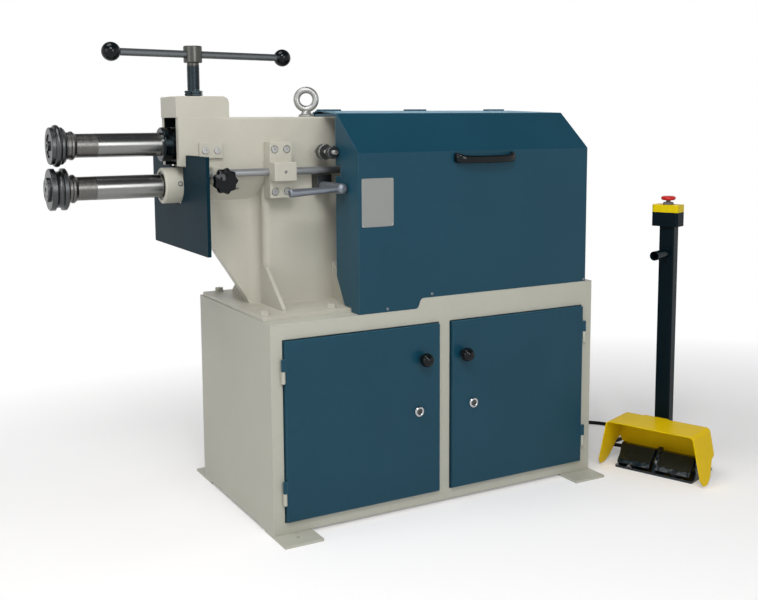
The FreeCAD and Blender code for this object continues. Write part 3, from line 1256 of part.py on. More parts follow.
def side_adjuster():
    """Stud in the casting with a knurled knob near its end."""
    stud = rod_y(ADJUSTER_STUD_RADIUS, FRAME_NEAR_Y - ADJUSTER_STUD_OUT,
                 FRAME_NEAR_Y + STUD_HOLE_DEPTH - 2, ADJUSTER_X, ADJUSTER_Z)
    radius = ADJUSTER_KNOB_RADIUS
    core = ADJUSTER_STUD_RADIUS - 1
    profile = [(core, 0), (radius - 4, 0), (radius, 3), (radius, 16), (radius - 4, 19), (core, 19)]
    knob = turned(profile, V(ADJUSTER_X, FRAME_NEAR_Y - ADJUSTER_KNOB_OUT, ADJUSTER_Z), -Y_AXIS)
    return joined([stud, knob])


def adjuster_ring():
    """Knurled lock ring on the stud, between the casting and the knob."""
    radius = ADJUSTER_RING_RADIUS
    bore = ADJUSTER_STUD_RADIUS + RUNNING_FIT
    profile = [(bore, 0), (radius - 6, 0), (radius - 6, 8), (radius - 1.5, 8), (radius, 9.5),
               (radius, 22.5), (radius - 1.5, 24), (bore, 24)]
    return turned(profile, V(ADJUSTER_X, FRAME_NEAR_Y - ADJUSTER_RING_OUT, ADJUSTER_Z), -Y_AXIS)


def eye_bolt():
    """Cast lifting eye, its ring turned toward the door side."""
    wire = (EYE_OUTER_RADIUS - EYE_INNER_RADIUS) / 2
    centre = V(EYE_X, SPINDLE_Y, EYE_CENTRE_Z)
    ring = Part.makeTorus(EYE_INNER_RADIUS + wire, wire, centre, EYE_NORMAL)
    neck = EYE_CENTRE_Z - EYE_INNER_RADIUS - wire - ARM_TOP_Z
    collar = EYE_FLANGE_THICKNESS
    profile = [
        (0, -EYE_STUD_LENGTH), (EYE_STUD_RADIUS, -EYE_STUD_LENGTH), (EYE_STUD_RADIUS, 0),
        (EYE_FLANGE_RADIUS, 0), (EYE_FLANGE_RADIUS, collar), (EYE_NECK_RADIUS, collar + 5),
        (EYE_NECK_RADIUS - 6, neck), (0, neck),
    ]
    return joined([ring, turned(profile, V(EYE_X, SPINDLE_Y, ARM_TOP_Z), Z_AXIS)])


# Cover

def front_section(inset):
    """Hood outline in Y and Z, from the lip over the slope to the hinge line."""
    return [
        (FRONT_Y + inset, LOW_TOP_Z + GAP),
        (FRONT_Y + inset, HOOD_CREASE_Z - 0.4 * inset),
        (HOOD_TOP_FRONT_Y + 0.4 * inset, HOOD_TOP_Z - inset),
        (HOOD_HINGE_Y - HOOD_HINGE_RADIUS - 2, HINGE_Z - inset),
    ]


def rear_section(inset):
    return [
        (HOOD_HINGE_Y + HOOD_HINGE_RADIUS + 2, HINGE_Z - 4 - inset),
        (HOOD_REAR_Y - inset, HOOD_CREASE_Z - 0.4 * inset),
        (HOOD_REAR_Y - inset, LOW_TOP_Z + GAP),
    ]


def step_block():
    """Space above the raised part of the cabinet's top, cut from the cover's lower edge."""
    low = LOW_TOP_Z + GAP
    high = HIGH_TOP_Z + GAP
    points = [
        (HOOD_LEFT_X - 50, low - 10), (HOOD_LEFT_X - 50, low), (TOP_STEP_X - GAP, low),
        (TOP_STEP_X + TOP_STEP_RUN - GAP, high), (HOOD_RIGHT_X + 1, high), (HOOD_RIGHT_X + 1, low - 10),
    ]
    bend = TOP_BEND_RADIUS
    return prism_xz(points, FRONT_Y - 5, HOOD_REAR_Y + 5, [0, 0, bend, bend, 0, 0])


def hinge_slots(x):
    """The five knuckles of one hood hinge, alternately on the fixed and the moving cover."""
    pitch = HOOD_HINGE_LENGTH / 5
    return [(x + i * pitch + GAP / 2, x + (i + 1) * pitch - GAP / 2, i % 2 == 0) for i in range(5)]


def hood_knuckles(fixed):
    solids = []
    side = 1 if fixed else -1
    for x in HOOD_HINGE_XS:
        for start, finish, on_fixed in hinge_slots(x - HOOD_HINGE_LENGTH / 2):
            if on_fixed != fixed:
                continue
            barrel = rod_x(HOOD_HINGE_RADIUS, start, finish, HOOD_HINGE_Y, HINGE_Z)
            if not fixed:
                bore = rod_x(HOOD_PIN_RADIUS + RUNNING_FIT, start - 1, finish + 1, HOOD_HINGE_Y, HINGE_Z)
                barrel = barrel.cut(bore)
            reach = side * (HOOD_HINGE_RADIUS + 12)
            inner = side * (HOOD_PIN_RADIUS + 1)
            leaf = box(start, finish, HOOD_HINGE_Y + min(reach, inner), HOOD_HINGE_Y + max(reach, inner),
                       HINGE_Z - HOOD_HINGE_RADIUS, HINGE_Z - HOOD_HINGE_RADIUS + 3)
            solids += [barrel, leaf]
        if fixed:
            half = HOOD_HINGE_LENGTH / 2
            solids.append(rod_x(HOOD_PIN_RADIUS, x - half, x + half, HOOD_HINGE_Y, HINGE_Z))
    return solids


def hood_shell():
    """Moving front, slope and top in one sheet, with the end panels."""
    outer = front_section(0)
    inner = front_section(HOOD_SHEET)[::-1]
    radii = [0, HOOD_BEND_RADIUS, HOOD_BEND_RADIUS, 0]
    inner_radii = [0, HOOD_BEND_RADIUS - HOOD_SHEET, HOOD_BEND_RADIUS - HOOD_SHEET, 0]
    skin = prism_yz(outer + inner, HOOD_LEFT_X, HOOD_RIGHT_X, radii + inner_radii)
    panel_rear = HOOD_HINGE_Y - HOOD_HINGE_RADIUS - 2
    low = LOW_TOP_Z + GAP
    front_line = [(FRONT_Y + 1, low), (FRONT_Y + 1, HOOD_CREASE_Z), (HOOD_TOP_FRONT_Y, HOOD_TOP_Z - 1)]
    right_line = front_line + [(panel_rear, HINGE_Z - 1), (panel_rear, low)]
    right = prism_yz(right_line, HOOD_RIGHT_X - HOOD_SHEET, HOOD_RIGHT_X)
    plate_top = LOW_TOP_Z + BASE_PLATE_THICKNESS + STOP_CLEARANCE
    plate_near = SPINDLE_Y - BASE_PLATE_HALF_DEPTH - STOP_CLEARANCE
    gusset_foot = FRAME_NEAR_Y - GUSSET_REACH - STOP_CLEARANCE
    left_line = front_line + [
        (PANEL_EDGE_Y, HOOD_TOP_Z - 1), (PANEL_EDGE_Y, LOW_TOP_Z + PANEL_FOOT_RISE),
        (gusset_foot - 8, plate_top), (plate_near, plate_top), (plate_near, low),
    ]
    left = prism_yz(left_line, HOOD_LEFT_X, HOOD_LEFT_X + HOOD_SHEET, [0, 0, 0, 0, 10, 6, 0, 0])
    reach = ROD_RADIUS + ROD_NOTCH_CLEARANCE
    notch = box(HOOD_LEFT_X - 1, HOOD_LEFT_X + HOOD_SHEET + 1, PANEL_EDGE_Y - ROD_NOTCH_DEPTH,
                PANEL_EDGE_Y + 1, ROD_Z - reach, ROD_Z + reach)
    arm_recess = box(HOOD_LEFT_X - 1, COVER_LEFT_X, FRAME_NEAR_Y - STOP_CLEARANCE, HOOD_HINGE_Y,
                     HOOD_TOP_Z - 10, HINGE_Z + 1)
    shell = joined([skin, right, left.cut(notch)] + hood_knuckles(False))
    return cut(shell, [step_block(), arm_recess])


def rear_hood_cover():
    """Fixed rear slope and wall, with the rear parts of both ends."""
    outer = rear_section(0)
    inner = rear_section(HOOD_SHEET)[::-1]
    skin = prism_yz(outer + inner, COVER_LEFT_X, HOOD_RIGHT_X)
    front = HOOD_HINGE_Y
    crest = HINGE_Z - 6
    low = LOW_TOP_Z + GAP
    rear_line = [(front, crest), (front + HOOD_HINGE_RADIUS + 2, crest),
                 (HOOD_REAR_Y - 1, HOOD_CREASE_Z), (HOOD_REAR_Y - 1, low)]
    right = prism_yz(rear_line + [(front, low)], HOOD_RIGHT_X - HOOD_SHEET, HOOD_RIGHT_X)
    plate_top = LOW_TOP_Z + BASE_PLATE_THICKNESS + STOP_CLEARANCE
    plate_far = SPINDLE_Y + BASE_PLATE_HALF_DEPTH + STOP_CLEARANCE
    left_line = rear_line + [(plate_far, low), (plate_far, plate_top), (front, plate_top)]
    left = prism_yz(left_line, COVER_LEFT_X, COVER_LEFT_X + HOOD_SHEET)
    shell = joined([skin, right, left] + hood_knuckles(True))
    return shell.cut(step_block())


def hood_handle():
    """Black bow pull: two feet on the hood and a broad rounded grip."""
    x1 = HANDLE_X + HANDLE_LENGTH
    low = HANDLE_TOP_Z - HANDLE_HEIGHT
    front = FRONT_Y - HANDLE_DEPTH
    slant = HANDLE_SLANT
    outline = [(HANDLE_X, FRONT_Y), (HANDLE_X + slant, front), (x1 - slant, front), (x1, FRONT_Y)]
    bow = prism_xy(outline, low, HANDLE_TOP_Z, [0, slant, slant, 0])
    foot = HANDLE_FOOT
    inner = front + HANDLE_GRIP
    opening = [(HANDLE_X + foot, FRONT_Y + 1), (HANDLE_X + foot + 8, inner),
               (x1 - foot - 8, inner), (x1 - foot, FRONT_Y + 1)]
    bow = bow.cut(prism_xy(opening, low - 1, HANDLE_TOP_Z + 1, [0, 10, 10, 0]))
    long_edges = [e for e in bow.Edges if e.BoundBox.YMax < front + 1 and e.BoundBox.XLength > 100]
    return bow.makeFillet(6, long_edges)


# Drive

def drive_stand():
    """Fabricated stand that carries the gearbox in line with the lower spindle."""
    top = LOWER_Z - STAND_TOP_DROP
    plate = STAND_PLATE
    near = SPINDLE_Y - GEARBOX_HALF_WIDTH
    far = SPINDLE_Y + GEARBOX_HALF_WIDTH
    over = STAND_OVERHANG
    x0 = GEARBOX_X - over
    x1 = GEARBOX_X + GEARBOX_LENGTH + over
    low = HIGH_TOP_Z + plate - OVERLAP
    high = top - plate + OVERLAP
    foot = box(x0, x1, near - over, far + over, HIGH_TOP_Z, HIGH_TOP_Z + plate)
    table = box(x0, x1, near - over, far + over, top - plate, top)
    walls = []
    for x in (GEARBOX_X, GEARBOX_X + GEARBOX_LENGTH - plate):
        walls.append(box(x, x + plate, near, far, low, high))
    web = box(GEARBOX_X + plate / 2, GEARBOX_X + GEARBOX_LENGTH - plate / 2,
              SPINDLE_Y - plate / 2, SPINDLE_Y + plate / 2, low, high)
    return joined([foot, table, web] + walls)


def gearbox():
    low = LOWER_Z - STAND_TOP_DROP
    near = SPINDLE_Y - GEARBOX_HALF_WIDTH
    far = SPINDLE_Y + GEARBOX_HALF_WIDTH
    x1 = GEARBOX_X + GEARBOX_LENGTH
    foot = box(GEARBOX_X, x1, near, far, low, low + 14)
    outline = [(near + 15, low + 13), (near + 15, LOWER_Z + GEARBOX_HALF_HEIGHT),
               (far - 15, LOWER_Z + GEARBOX_HALF_HEIGHT), (far - 15, low + 13)]
    body = prism_yz(outline, GEARBOX_X + 6, x1 - 8, [0, 40, 40, 0])
    boss = rod_x(45, GEARBOX_X - 5, GEARBOX_X + 7, SPINDLE_Y, LOWER_Z)
    flange = rod_x(MOTOR_RADIUS + MOTOR_FLANGE_EXTRA, x1 - 9, x1, SPINDLE_Y, LOWER_Z)
    bore = rod_x(OUTPUT_RADIUS + RUNNING_FIT, GEARBOX_X - 6, GEARBOX_X + 14, SPINDLE_Y, LOWER_Z)
    return joined([foot, body, boss, flange]).cut(bore)


def drive_motor():
    """Flanged motor: finned body, terminal box and fan cover."""
    x0 = GEARBOX_X + GEARBOX_LENGTH
    x1 = x0 + MOTOR_LENGTH
    pieces = [
        rod_x(MOTOR_RADIUS + MOTOR_FLANGE_EXTRA, x0, x0 + 12, SPINDLE_Y, LOWER_Z),
        rod_x(MOTOR_RADIUS - 10, x0 + 11, x1, SPINDLE_Y, LOWER_Z),
        rod_x(MOTOR_RADIUS - 2, x0 + 11, x0 + 40, SPINDLE_Y, LOWER_Z),
        rod_x(MOTOR_RADIUS - 2, x1 - 24, x1, SPINDLE_Y, LOWER_Z),
    ]
    for i in range(MOTOR_FINS):
        angle = 360.0 * i / MOTOR_FINS
        fin = box(x0 + 38, x1 - 22, -1.5, 1.5, MOTOR_RADIUS - 12, MOTOR_RADIUS)
        fin.rotate(V(0, 0, 0), X_AXIS, angle)
        fin.translate(V(0, SPINDLE_Y, LOWER_Z))
        pieces.append(fin)
    start = x0 + TERMINAL_OFFSET
    terminal = box(start, start + TERMINAL_LENGTH, SPINDLE_Y - TERMINAL_HALF_WIDTH,
                   SPINDLE_Y + TERMINAL_HALF_WIDTH, LOWER_Z + MOTOR_RADIUS - 14,
                   LOWER_Z + MOTOR_RADIUS + TERMINAL_RISE)
    terminal = terminal.makeFillet(5, [e for e in terminal.Edges if e.BoundBox.ZLength > 20])
    end = x1 + FAN_COVER_LENGTH
    cover = rod_x(FAN_COVER_RADIUS, x1, end, SPINDLE_Y, LOWER_Z)
    cover = cover.makeFillet(12, [e for e in cover.Edges if e.BoundBox.XMin > end - 0.01])
    slots = []
    for i in range(12):
        slot = box(end - 4, end + 1, -3, 3, 18, FAN_COVER_RADIUS - 22)
        slot.rotate(V(0, 0, 0), X_AXIS, 30.0 * i)
        slot.translate(V(0, SPINDLE_Y, LOWER_Z))
        slots.append(slot)
    return joined(pieces + [terminal, cover.cut(Part.makeCompound(slots))])


def control_box():
    """Closed electrical box on the cabinet's back wall, in the right bay."""
    y1 = REAR_Y - SHEET
    y0 = y1 - CONTROL_BOX_DEPTH
    x1 = CONTROL_BOX_X + CONTROL_BOX_WIDTH
    top = CONTROL_BOX_TOP_Z
    body = box(CONTROL_BOX_X, x1, y0 + 20, y1, CONTROL_BOX_BOTTOM_Z, top)
    lid = box(CONTROL_BOX_X - 3, x1 + 3, y0, y0 + 21, CONTROL_BOX_BOTTOM_Z - 3, top + 3)
    lid = lid.makeFillet(4, [e for e in lid.Edges if e.BoundBox.YMax < y0 + 0.01])
    latches = [rod_y(9, y0 - 4, y0 + 1, x1 - 14, z) for z in (CONTROL_BOX_BOTTOM_Z + 60, top - 60)]
    inlets = [rod_z(11, CONTROL_BOX_BOTTOM_Z - 16, CONTROL_BOX_BOTTOM_Z + 1, CONTROL_BOX_X + x, y1 - 50)
              for x in CONTROL_BOX_INLETS]
    return joined([body, lid] + latches + inlets)


# Foot control station, built in its own frame

def station_placed(shape):
    placed = shape.copy()
    placed.rotate(V(0, 0, 0), Z_AXIS, STATION_TURN)
    placed.translate(V(STATION_X, STATION_Y, 0))
    return placed


def station_point(across, depth, height):
    turn = FreeCAD.Rotation(Z_AXIS, STATION_TURN)
    return V(STATION_X, STATION_Y, 0) + turn.multVec(V(across, depth, height))


def station_base():
    """Ground plate with the pedal cheeks, middle fin, switch blocks and terminal housing."""
    half = STATION_HALF_WIDTH
    pivot = PEDAL_PIVOT_DEPTH
    top = STATION_PLATE
    outline = [(-half, 0), (half, 0), (half, STATION_DEPTH), (-half, STATION_DEPTH)]
    plate = prism_xy(outline, 0, top, [8, 8, 10, 10])
    cheek_top = PEDAL_PIVOT_Z + CHEEK_RISE
    cheek_line = [(pivot - 40, top - 1), (pivot - 14, cheek_top), (pivot + 14, cheek_top),
                  (pivot + 22, top - 1)]
    pieces = [plate]
    for side in (-1, 1):
        edge = side * half
        inner = side * (PEDAL_OUTER + 2)
        pieces.append(prism_yz(cheek_line, min(edge, inner), max(edge, inner), [0, 12, 12, 0]))
        middle = side * (PEDAL_INNER + PEDAL_OUTER) / 2
        pieces.append(box(middle - 16, middle + 16, pivot - 44, pivot - 16, top - 1, top + 14))
        pieces.append(rod_z(5, top, top + 20, middle, pivot - 30))
    fin_half = FIN_HALF_THICKNESS
    fin_top = PEDAL_PIVOT_Z + FIN_RISE
    fin_line = [(4, top - 1), (pivot - 8, fin_top), (pivot + 8, fin_top), (pivot + 24, top - 1)]
    fin = prism_yz(fin_line, -fin_half, fin_half, [0, 10, 10, 0])
    hollow_line = [(20, top + 5), (pivot - 7, PEDAL_PIVOT_Z - 8), (pivot + 12, top + 5)]
    for side in (-1, 1):
        face = side * fin_half
        floor = face - 2 * side
        fin = fin.cut(prism_yz(hollow_line, min(face, floor), max(face, floor), [3, 3, 3]))
    pin = rod_x(PEDAL_PIN_RADIUS, -half, half, pivot, PEDAL_PIVOT_Z)
    housing = box(-half + HOUSING_INSET, half - HOUSING_INSET, GUARD_BACK + GAP, STATION_DEPTH - 4,
                  top - 1, HOUSING_TOP_Z)
    rounded = [e for e in housing.Edges
               if e.BoundBox.ZMax > HOUSING_TOP_Z - 0.1 or e.BoundBox.ZLength > STATION_PLATE]
    housing = housing.makeFillet(6, rounded)
    mast_hole = box(MAST_ACROSS - MAST_WIDTH / 2, MAST_ACROSS + MAST_WIDTH / 2, MAST_FRONT,
                    MAST_FRONT + MAST_DEPTH, top, HOUSING_TOP_Z + 1)
    return joined(pieces + [fin, pin, housing]).cut(mast_hole)


def pedal(side):
    """Foot pedal: a sloping tread with a front lip, hinged on the pin at its rear."""
    pivot = PEDAL_PIVOT_DEPTH
    z = PEDAL_PIVOT_Z
    front = PEDAL_FRONT_Z
    lip = PEDAL_LIP_Z
    x0 = min(side * PEDAL_INNER, side * PEDAL_OUTER)
    x1 = max(side * PEDAL_INNER, side * PEDAL_OUTER)
    outline = [(pivot, z - 1), (pivot, z + PEDAL_BOSS_RADIUS), (pivot - 18, z + 10), (2, front),
               (-4, lip + 2), (0, lip), (6, front - 5), (pivot - 18, z + 3)]
    tread = prism_yz(outline, x0, x1, [0, 0, 8, 4, 0, 0, 3, 6])
    boss = rod_x(PEDAL_BOSS_RADIUS, x0, x1, pivot, z)
    pieces = [tread, boss]
    side_line = [(pivot - 6, z), (pivot - 20, z + 5), (6, front - 4), (2, lip + 1), (pivot - 10, z - 14)]
    for edge in (x0, x1 - PEDAL_SIDE):
        pieces.append(prism_yz(side_line, edge, edge + PEDAL_SIDE))
    bore = rod_x(PEDAL_PIN_RADIUS + RUNNING_FIT, x0 - 1, x1 + 1, pivot, z)
    return joined(pieces).cut(bore)


def guard_profile():
    """Across and height of the guard's bent sheet, outer line."""
    half = GUARD_HALF_WIDTH
    tip = half + GUARD_FLARE
    return [(-tip, GUARD_TIP_Z), (-half, GUARD_HEIGHT), (half, GUARD_HEIGHT), (tip, GUARD_TIP_Z)]


def pedal_guard():
    """Yellow sheet over the pedals: top, back wall and two flared ears."""
    sheet = GUARD_SHEET
    outer = guard_profile()
    inner = [(outer[3][0] - sheet, GUARD_TIP_Z), (outer[2][0] - sheet, GUARD_HEIGHT - sheet),
             (outer[1][0] + sheet, GUARD_HEIGHT - sheet), (outer[0][0] + sheet, GUARD_TIP_Z)]
    points = [V(x, GUARD_FRONT, z) for x, z in outer + inner]
    corner = GUARD_CORNER
    radii = [0, corner, corner, 0, 0, corner - sheet, corner - sheet, 0]
    band = prism(points, radii, V(0, GUARD_BACK - GUARD_FRONT, 0))
    low = GUARD_WALL_BOTTOM_Z
    ear = [(GUARD_FRONT, GUARD_HEIGHT + 1), (GUARD_BACK, GUARD_HEIGHT + 1), (GUARD_BACK, low + 22),
           (GUARD_BACK - 26, low + 12), (46, 24), (14, GUARD_TIP_Z + 1), (-18, GUARD_TIP_Z + 3),
           (GUARD_FRONT + 4, 28)]
    reach = GUARD_HALF_WIDTH + GUARD_FLARE + 1
    side_view = prism_yz(ear, -reach, reach, [0, 0, 8, 10, 14, 12, 12, 10])
    band = band.common(side_view)
    slope = GUARD_FLARE / (GUARD_HEIGHT - GUARD_TIP_Z)
    wall_half = GUARD_HALF_WIDTH + slope * (GUARD_HEIGHT - low) - 2
    wall_line = [(-wall_half, low), (wall_half, low), (GUARD_HALF_WIDTH - 2, GUARD_HEIGHT - 2),
                 (-GUARD_HALF_WIDTH + 2, GUARD_HEIGHT - 2)]
    top_corner = GUARD_CORNER - 2
    wall = prism_xz(wall_line, GUARD_BACK - sheet, GUARD_BACK, [30, 30, top_corner, top_corner])
    skirt = box(-STATION_HALF_WIDTH + 14, STATION_HALF_WIDTH - 14, GUARD_BACK - sheet, GUARD_BACK,
                STATION_PLATE + GAP, low + 1)
    left = MAST_ACROSS - MAST_WIDTH / 2
    tab = box(left - 34, MAST_ACROSS + MAST_WIDTH / 2, GUARD_BACK - 1, MAST_FRONT - GAP, GUARD_HEIGHT - 16,
              GUARD_HEIGHT - 4)
    return joined([band, wall, skirt, tab])


def station_mast():
    """Rectangular tube with its foot in the housing and a short carrying stub."""
    x0 = MAST_ACROSS - MAST_WIDTH / 2
    x1 = MAST_ACROSS + MAST_WIDTH / 2
    y1 = MAST_FRONT + MAST_DEPTH
    tube = box(x0, x1, MAST_FRONT, y1, STATION_PLATE, MAST_TOP_Z)
    tube = tube.makeFillet(5, [e for e in tube.Edges if e.BoundBox.ZLength > 100])
    bore = box(x0 + MAST_WALL, x1 - MAST_WALL, MAST_FRONT + MAST_WALL, y1 - MAST_WALL,
               STATION_PLATE + MAST_WALL, MAST_TOP_Z - MAST_WALL)
    start = MAST_FRONT - STUB_LENGTH
    stub = rod_y(STUB_RADIUS, start, MAST_FRONT + 1, MAST_ACROSS, STUB_Z)
    hollow = rod_y(STUB_RADIUS - MAST_WALL, start - 1, MAST_FRONT - 4, MAST_ACROSS, STUB_Z)
    return joined([tube.cut(bore), stub]).cut(hollow)


def button_block(z0, z1, corner_radius):
    x0 = BUTTON_BOX_ACROSS - BUTTON_BOX_WIDTH / 2
    y0 = BUTTON_BOX_DEEP - BUTTON_BOX_DEPTH / 2
    block = box(x0, x0 + BUTTON_BOX_WIDTH, y0, y0 + BUTTON_BOX_DEPTH, z0, z1)
    return block.makeFillet(corner_radius, [e for e in block.Edges if e.BoundBox.ZLength > 5])


BUTTON_BOX_ACROSS = MAST_ACROSS - 3
BUTTON_BOX_DEEP = MAST_FRONT + 16
BUTTON_COVER_Z = MAST_TOP_Z + BUTTON_BOX_HEIGHT
BUTTON_COVER_TOP_Z = BUTTON_COVER_Z + BUTTON_COVER_HEIGHT


def button_box():
    return button_block(MAST_TOP_Z, BUTTON_COVER_Z, BUTTON_BOX_CORNER)


def button_box_cover():
    """Cover with the raised collar that guides the button."""
    cover = button_block(BUTTON_COVER_Z, BUTTON_COVER_TOP_Z, BUTTON_BOX_CORNER)
    rim = [e for e in cover.Edges if e.BoundBox.ZMin > BUTTON_COVER_TOP_Z - 0.01]
    cover = cover.makeFillet(2, rim)
    rise = BUTTON_SKIRT_GAP - 6
    collar_line = [(0, -1), (18, -1), (18, 3), (16, rise), (0, rise)]
    collar = turned(collar_line, V(BUTTON_BOX_ACROSS, BUTTON_BOX_DEEP, BUTTON_COVER_TOP_Z), Z_AXIS)
    bore = rod_z(BUTTON_STEM_RADIUS + RUNNING_FIT, BUTTON_COVER_Z + 4, BUTTON_COVER_TOP_Z + BUTTON_SKIRT_GAP,
                 BUTTON_BOX_ACROSS, BUTTON_BOX_DEEP)
    return joined([cover, collar]).cut(bore)


def emergency_button():
    """Mushroom push button, wider at the top, on its stem."""
    gap = BUTTON_SKIRT_GAP
    top = gap + BUTTON_HEIGHT
    radius = BUTTON_RADIUS
    profile = [
        (0, -12), (BUTTON_STEM_RADIUS, -12), (BUTTON_STEM_RADIUS, gap), (radius - 8, gap),
        (radius - 6, gap + 4), (radius, top - 5), (radius, top - 3), (radius - 3, top - 1),
        (radius - 12, top), (0, top),
    ]
    return turned(profile, V(BUTTON_BOX_ACROSS, BUTTON_BOX_DEEP, BUTTON_COVER_TOP_Z), Z_AXIS)


# Cord and its glands

CABINET_GLAND = V(RIGHT_X, CABINET_GLAND_Y, CABINET_GLAND_Z)
STATION_GLAND = station_point(HOUSING_INSET - STATION_HALF_WIDTH, STATION_GLAND_DEPTH, STATION_GLAND_Z)
STATION_SIDE = FreeCAD.Rotation(Z_AXIS, STATION_TURN).multVec(-X_AXIS)


def cord_glands():
    """Cable glands on the cabinet's side and on the station's housing."""
    bore = CORD_RADIUS
    flange = GLAND_RADIUS + 4
    seat = [(bore, 0), (flange, 0), (flange, 5), (GLAND_RADIUS, 5), (GLAND_RADIUS, 15),
            (GLAND_RADIUS - 3, GLAND_LENGTH), (bore, GLAND_LENGTH)]
    cabinet = turned(seat, CABINET_GLAND, X_AXIS)
    nut_line = [(bore, 0), (GLAND_RADIUS, 0), (GLAND_RADIUS, SHEET), (flange, SHEET),
                (flange, SHEET + 6), (bore, SHEET + 6)]
    nut = turned(nut_line, CABINET_GLAND, -X_AXIS)
    return [joined([cabinet, nut]), turned(seat, STATION_GLAND, STATION_SIDE)]


def foot_cord():
    """Cord lying on the floor from the cabinet's gland round to the station's."""
    start = CABINET_GLAND + X_AXIS * GLAND_LENGTH
    finish = STATION_GLAND + STATION_SIDE * GLAND_LENGTH
    points = [start]
    for x, y, z in CORD_DROP:
        points.append(V(RIGHT_X + x, y, z))
    for x, y in CORD_LOOP:
        points.append(V(RIGHT_X + x, y, CORD_RADIUS + 0.2))
    points += [V(RIGHT_X + CORD_RISE[0], CORD_RISE[1], CORD_RISE[2]),
               finish + STATION_SIDE * CORD_LEAD, finish]
    radii = [0]
    for i in range(1, len(points) - 1):
        back = points[i - 1] - points[i]
        ahead = points[i + 1] - points[i]
        half_turn = (math.pi - back.getAngle(ahead)) / 2
        radii.append(0.45 * min(back.Length, ahead.Length) / math.tan(half_turn))
    radii.append(0)
    path = rounded_wire(points, radii, closed=False)
    section = Part.Wire(Part.Circle(start, X_AXIS, CORD_RADIUS).toShape())
    cord = path.makePipeShell([section], True, False)
    ideal = math.pi * CORD_RADIUS ** 2 * path.Length
    print("cord length", round(path.Length), "volume over ideal", round(cord.Volume / ideal, 4))
    print("cord radii", [round(radius) for radius in radii[1:-1]])
    return cord


# Build

os.makedirs("parts", exist_ok=True)

save("floor_feet", *floor_feet())
save("cabinet_shell", cabinet_shell())
save("cabinet_front_frame", cabinet_front_frame())
save("cabinet_top", cabinet_top())
save("control_box", control_box())

save("door_left", door(LEFT_DOOR_X, LEFT_DOOR_END_X, LEFT_HINGE_X, 1))
save("door_right", door(RIGHT_DOOR_X, RIGHT_DOOR_END_X, RIGHT_HINGE_X, -1))
save("door_knob_left", door_knob(1))
save("door_knob_right", door_knob(-1))
save("cam_lock_left", cam_lock(1))
save("cam_lock_right", cam_lock(-1))

save("machine_casting", machine_casting())
save("base_bolts", *base_bolts())
save("lower_spindle_bushes", *lower_spindle_bushes())
save("bearing_stand", bearing_stand())
save("lift_nut", lift_nut())
save("rod_bracket", rod_bracket())
save("socket_screws", *socket_screws())
save("eye_bolt", eye_bolt())
save("lever_block", lever_block())

save("upper_bearing_block", upper_bearing_block())
save("upper_swivel_bearing", upper_swivel_bearing())
save("upper_shaft", upper_shaft())
save("upper_roll", upper_roll())
save("upper_spacer", roll_spacer(SHOULDER_X, UPPER_Z))
save("upper_roll_nut", upper_roll_nut())
save("upper_gear", gear(UPPER_Z))
save("lower_shaft", lower_shaft())
save("lower_roll", lower_roll())
save("lower_spacer", roll_spacer(LOWER_SHOULDER_X, LOWER_Z))
save("lower_roll_cap", lower_roll_cap())
save("lower_gear", gear(LOWER_Z))
save("shaft_coupling", *shaft_coupling())
save("drive_stand", drive_stand())
save("gearbox", gearbox())
save("drive_motor", drive_motor())

save("lift_screw", lift_screw())
save("tommy_bar", tommy_bar())
save("bar_balls", *bar_balls())
save("screw_jam_nuts", *screw_jam_nuts())
save("thrust_pad", thrust_pad())

save("stop_plate", stop_plate())
save("stop_rod", stop_rod())
save("star_knob", star_knob())
save("clamp_lever", clamp_lever())
save("side_adjuster", side_adjuster())
save("adjuster_ring", adjuster_ring())

save("hood_shell", hood_shell())
save("hood_handle", hood_handle())
save("rear_hood_cover", rear_hood_cover())

save("station_base", station_placed(station_base()))
save("pedal_left", station_placed(pedal(-1)))
save("pedal_right", station_placed(pedal(1)))
save("pedal_guard", station_placed(pedal_guard()))
save("station_mast", station_placed(station_mast()))
save("button_box", station_placed(button_box()))
save("button_box_cover", station_placed(button_box_cover()))
save("emergency_button", station_placed(emergency_button()))
save("cord_glands", *cord_glands())
save("foot_cord", foot_cord())
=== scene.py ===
# %% [markdown]
# # A roll forming machine, dressed
#
# The machine is a cast frame with two long spindles, standing on a two-door cabinet, with a
# foot control beside it. Its shapes come from an engineering model and are loaded as they are.
# This lesson adds what such a model lacks: paint with its fine skin, ground and blackened
# steel, a thread, knurled rings, a blank data plate, and the light of a plain studio.

import math

import bmesh
import bpy
from mathutils import Matrix, Vector


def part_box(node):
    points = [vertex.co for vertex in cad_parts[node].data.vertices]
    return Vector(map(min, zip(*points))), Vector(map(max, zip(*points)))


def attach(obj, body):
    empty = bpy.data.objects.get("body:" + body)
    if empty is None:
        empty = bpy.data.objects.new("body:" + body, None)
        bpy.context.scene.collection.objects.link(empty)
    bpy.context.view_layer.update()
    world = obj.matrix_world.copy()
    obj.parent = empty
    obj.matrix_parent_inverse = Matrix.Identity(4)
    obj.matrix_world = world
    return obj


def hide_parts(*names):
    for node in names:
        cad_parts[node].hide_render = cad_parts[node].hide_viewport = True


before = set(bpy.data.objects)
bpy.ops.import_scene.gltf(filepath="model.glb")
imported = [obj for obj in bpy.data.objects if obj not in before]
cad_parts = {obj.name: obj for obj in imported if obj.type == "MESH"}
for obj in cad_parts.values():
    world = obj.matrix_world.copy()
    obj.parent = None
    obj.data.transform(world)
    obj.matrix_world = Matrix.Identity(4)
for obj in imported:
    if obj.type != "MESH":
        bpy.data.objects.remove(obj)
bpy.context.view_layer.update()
scene = bpy.context.scene
Y_AXIS = Vector((0, 1, 0))
Z_AXIS = Vector((0, 0, 1))

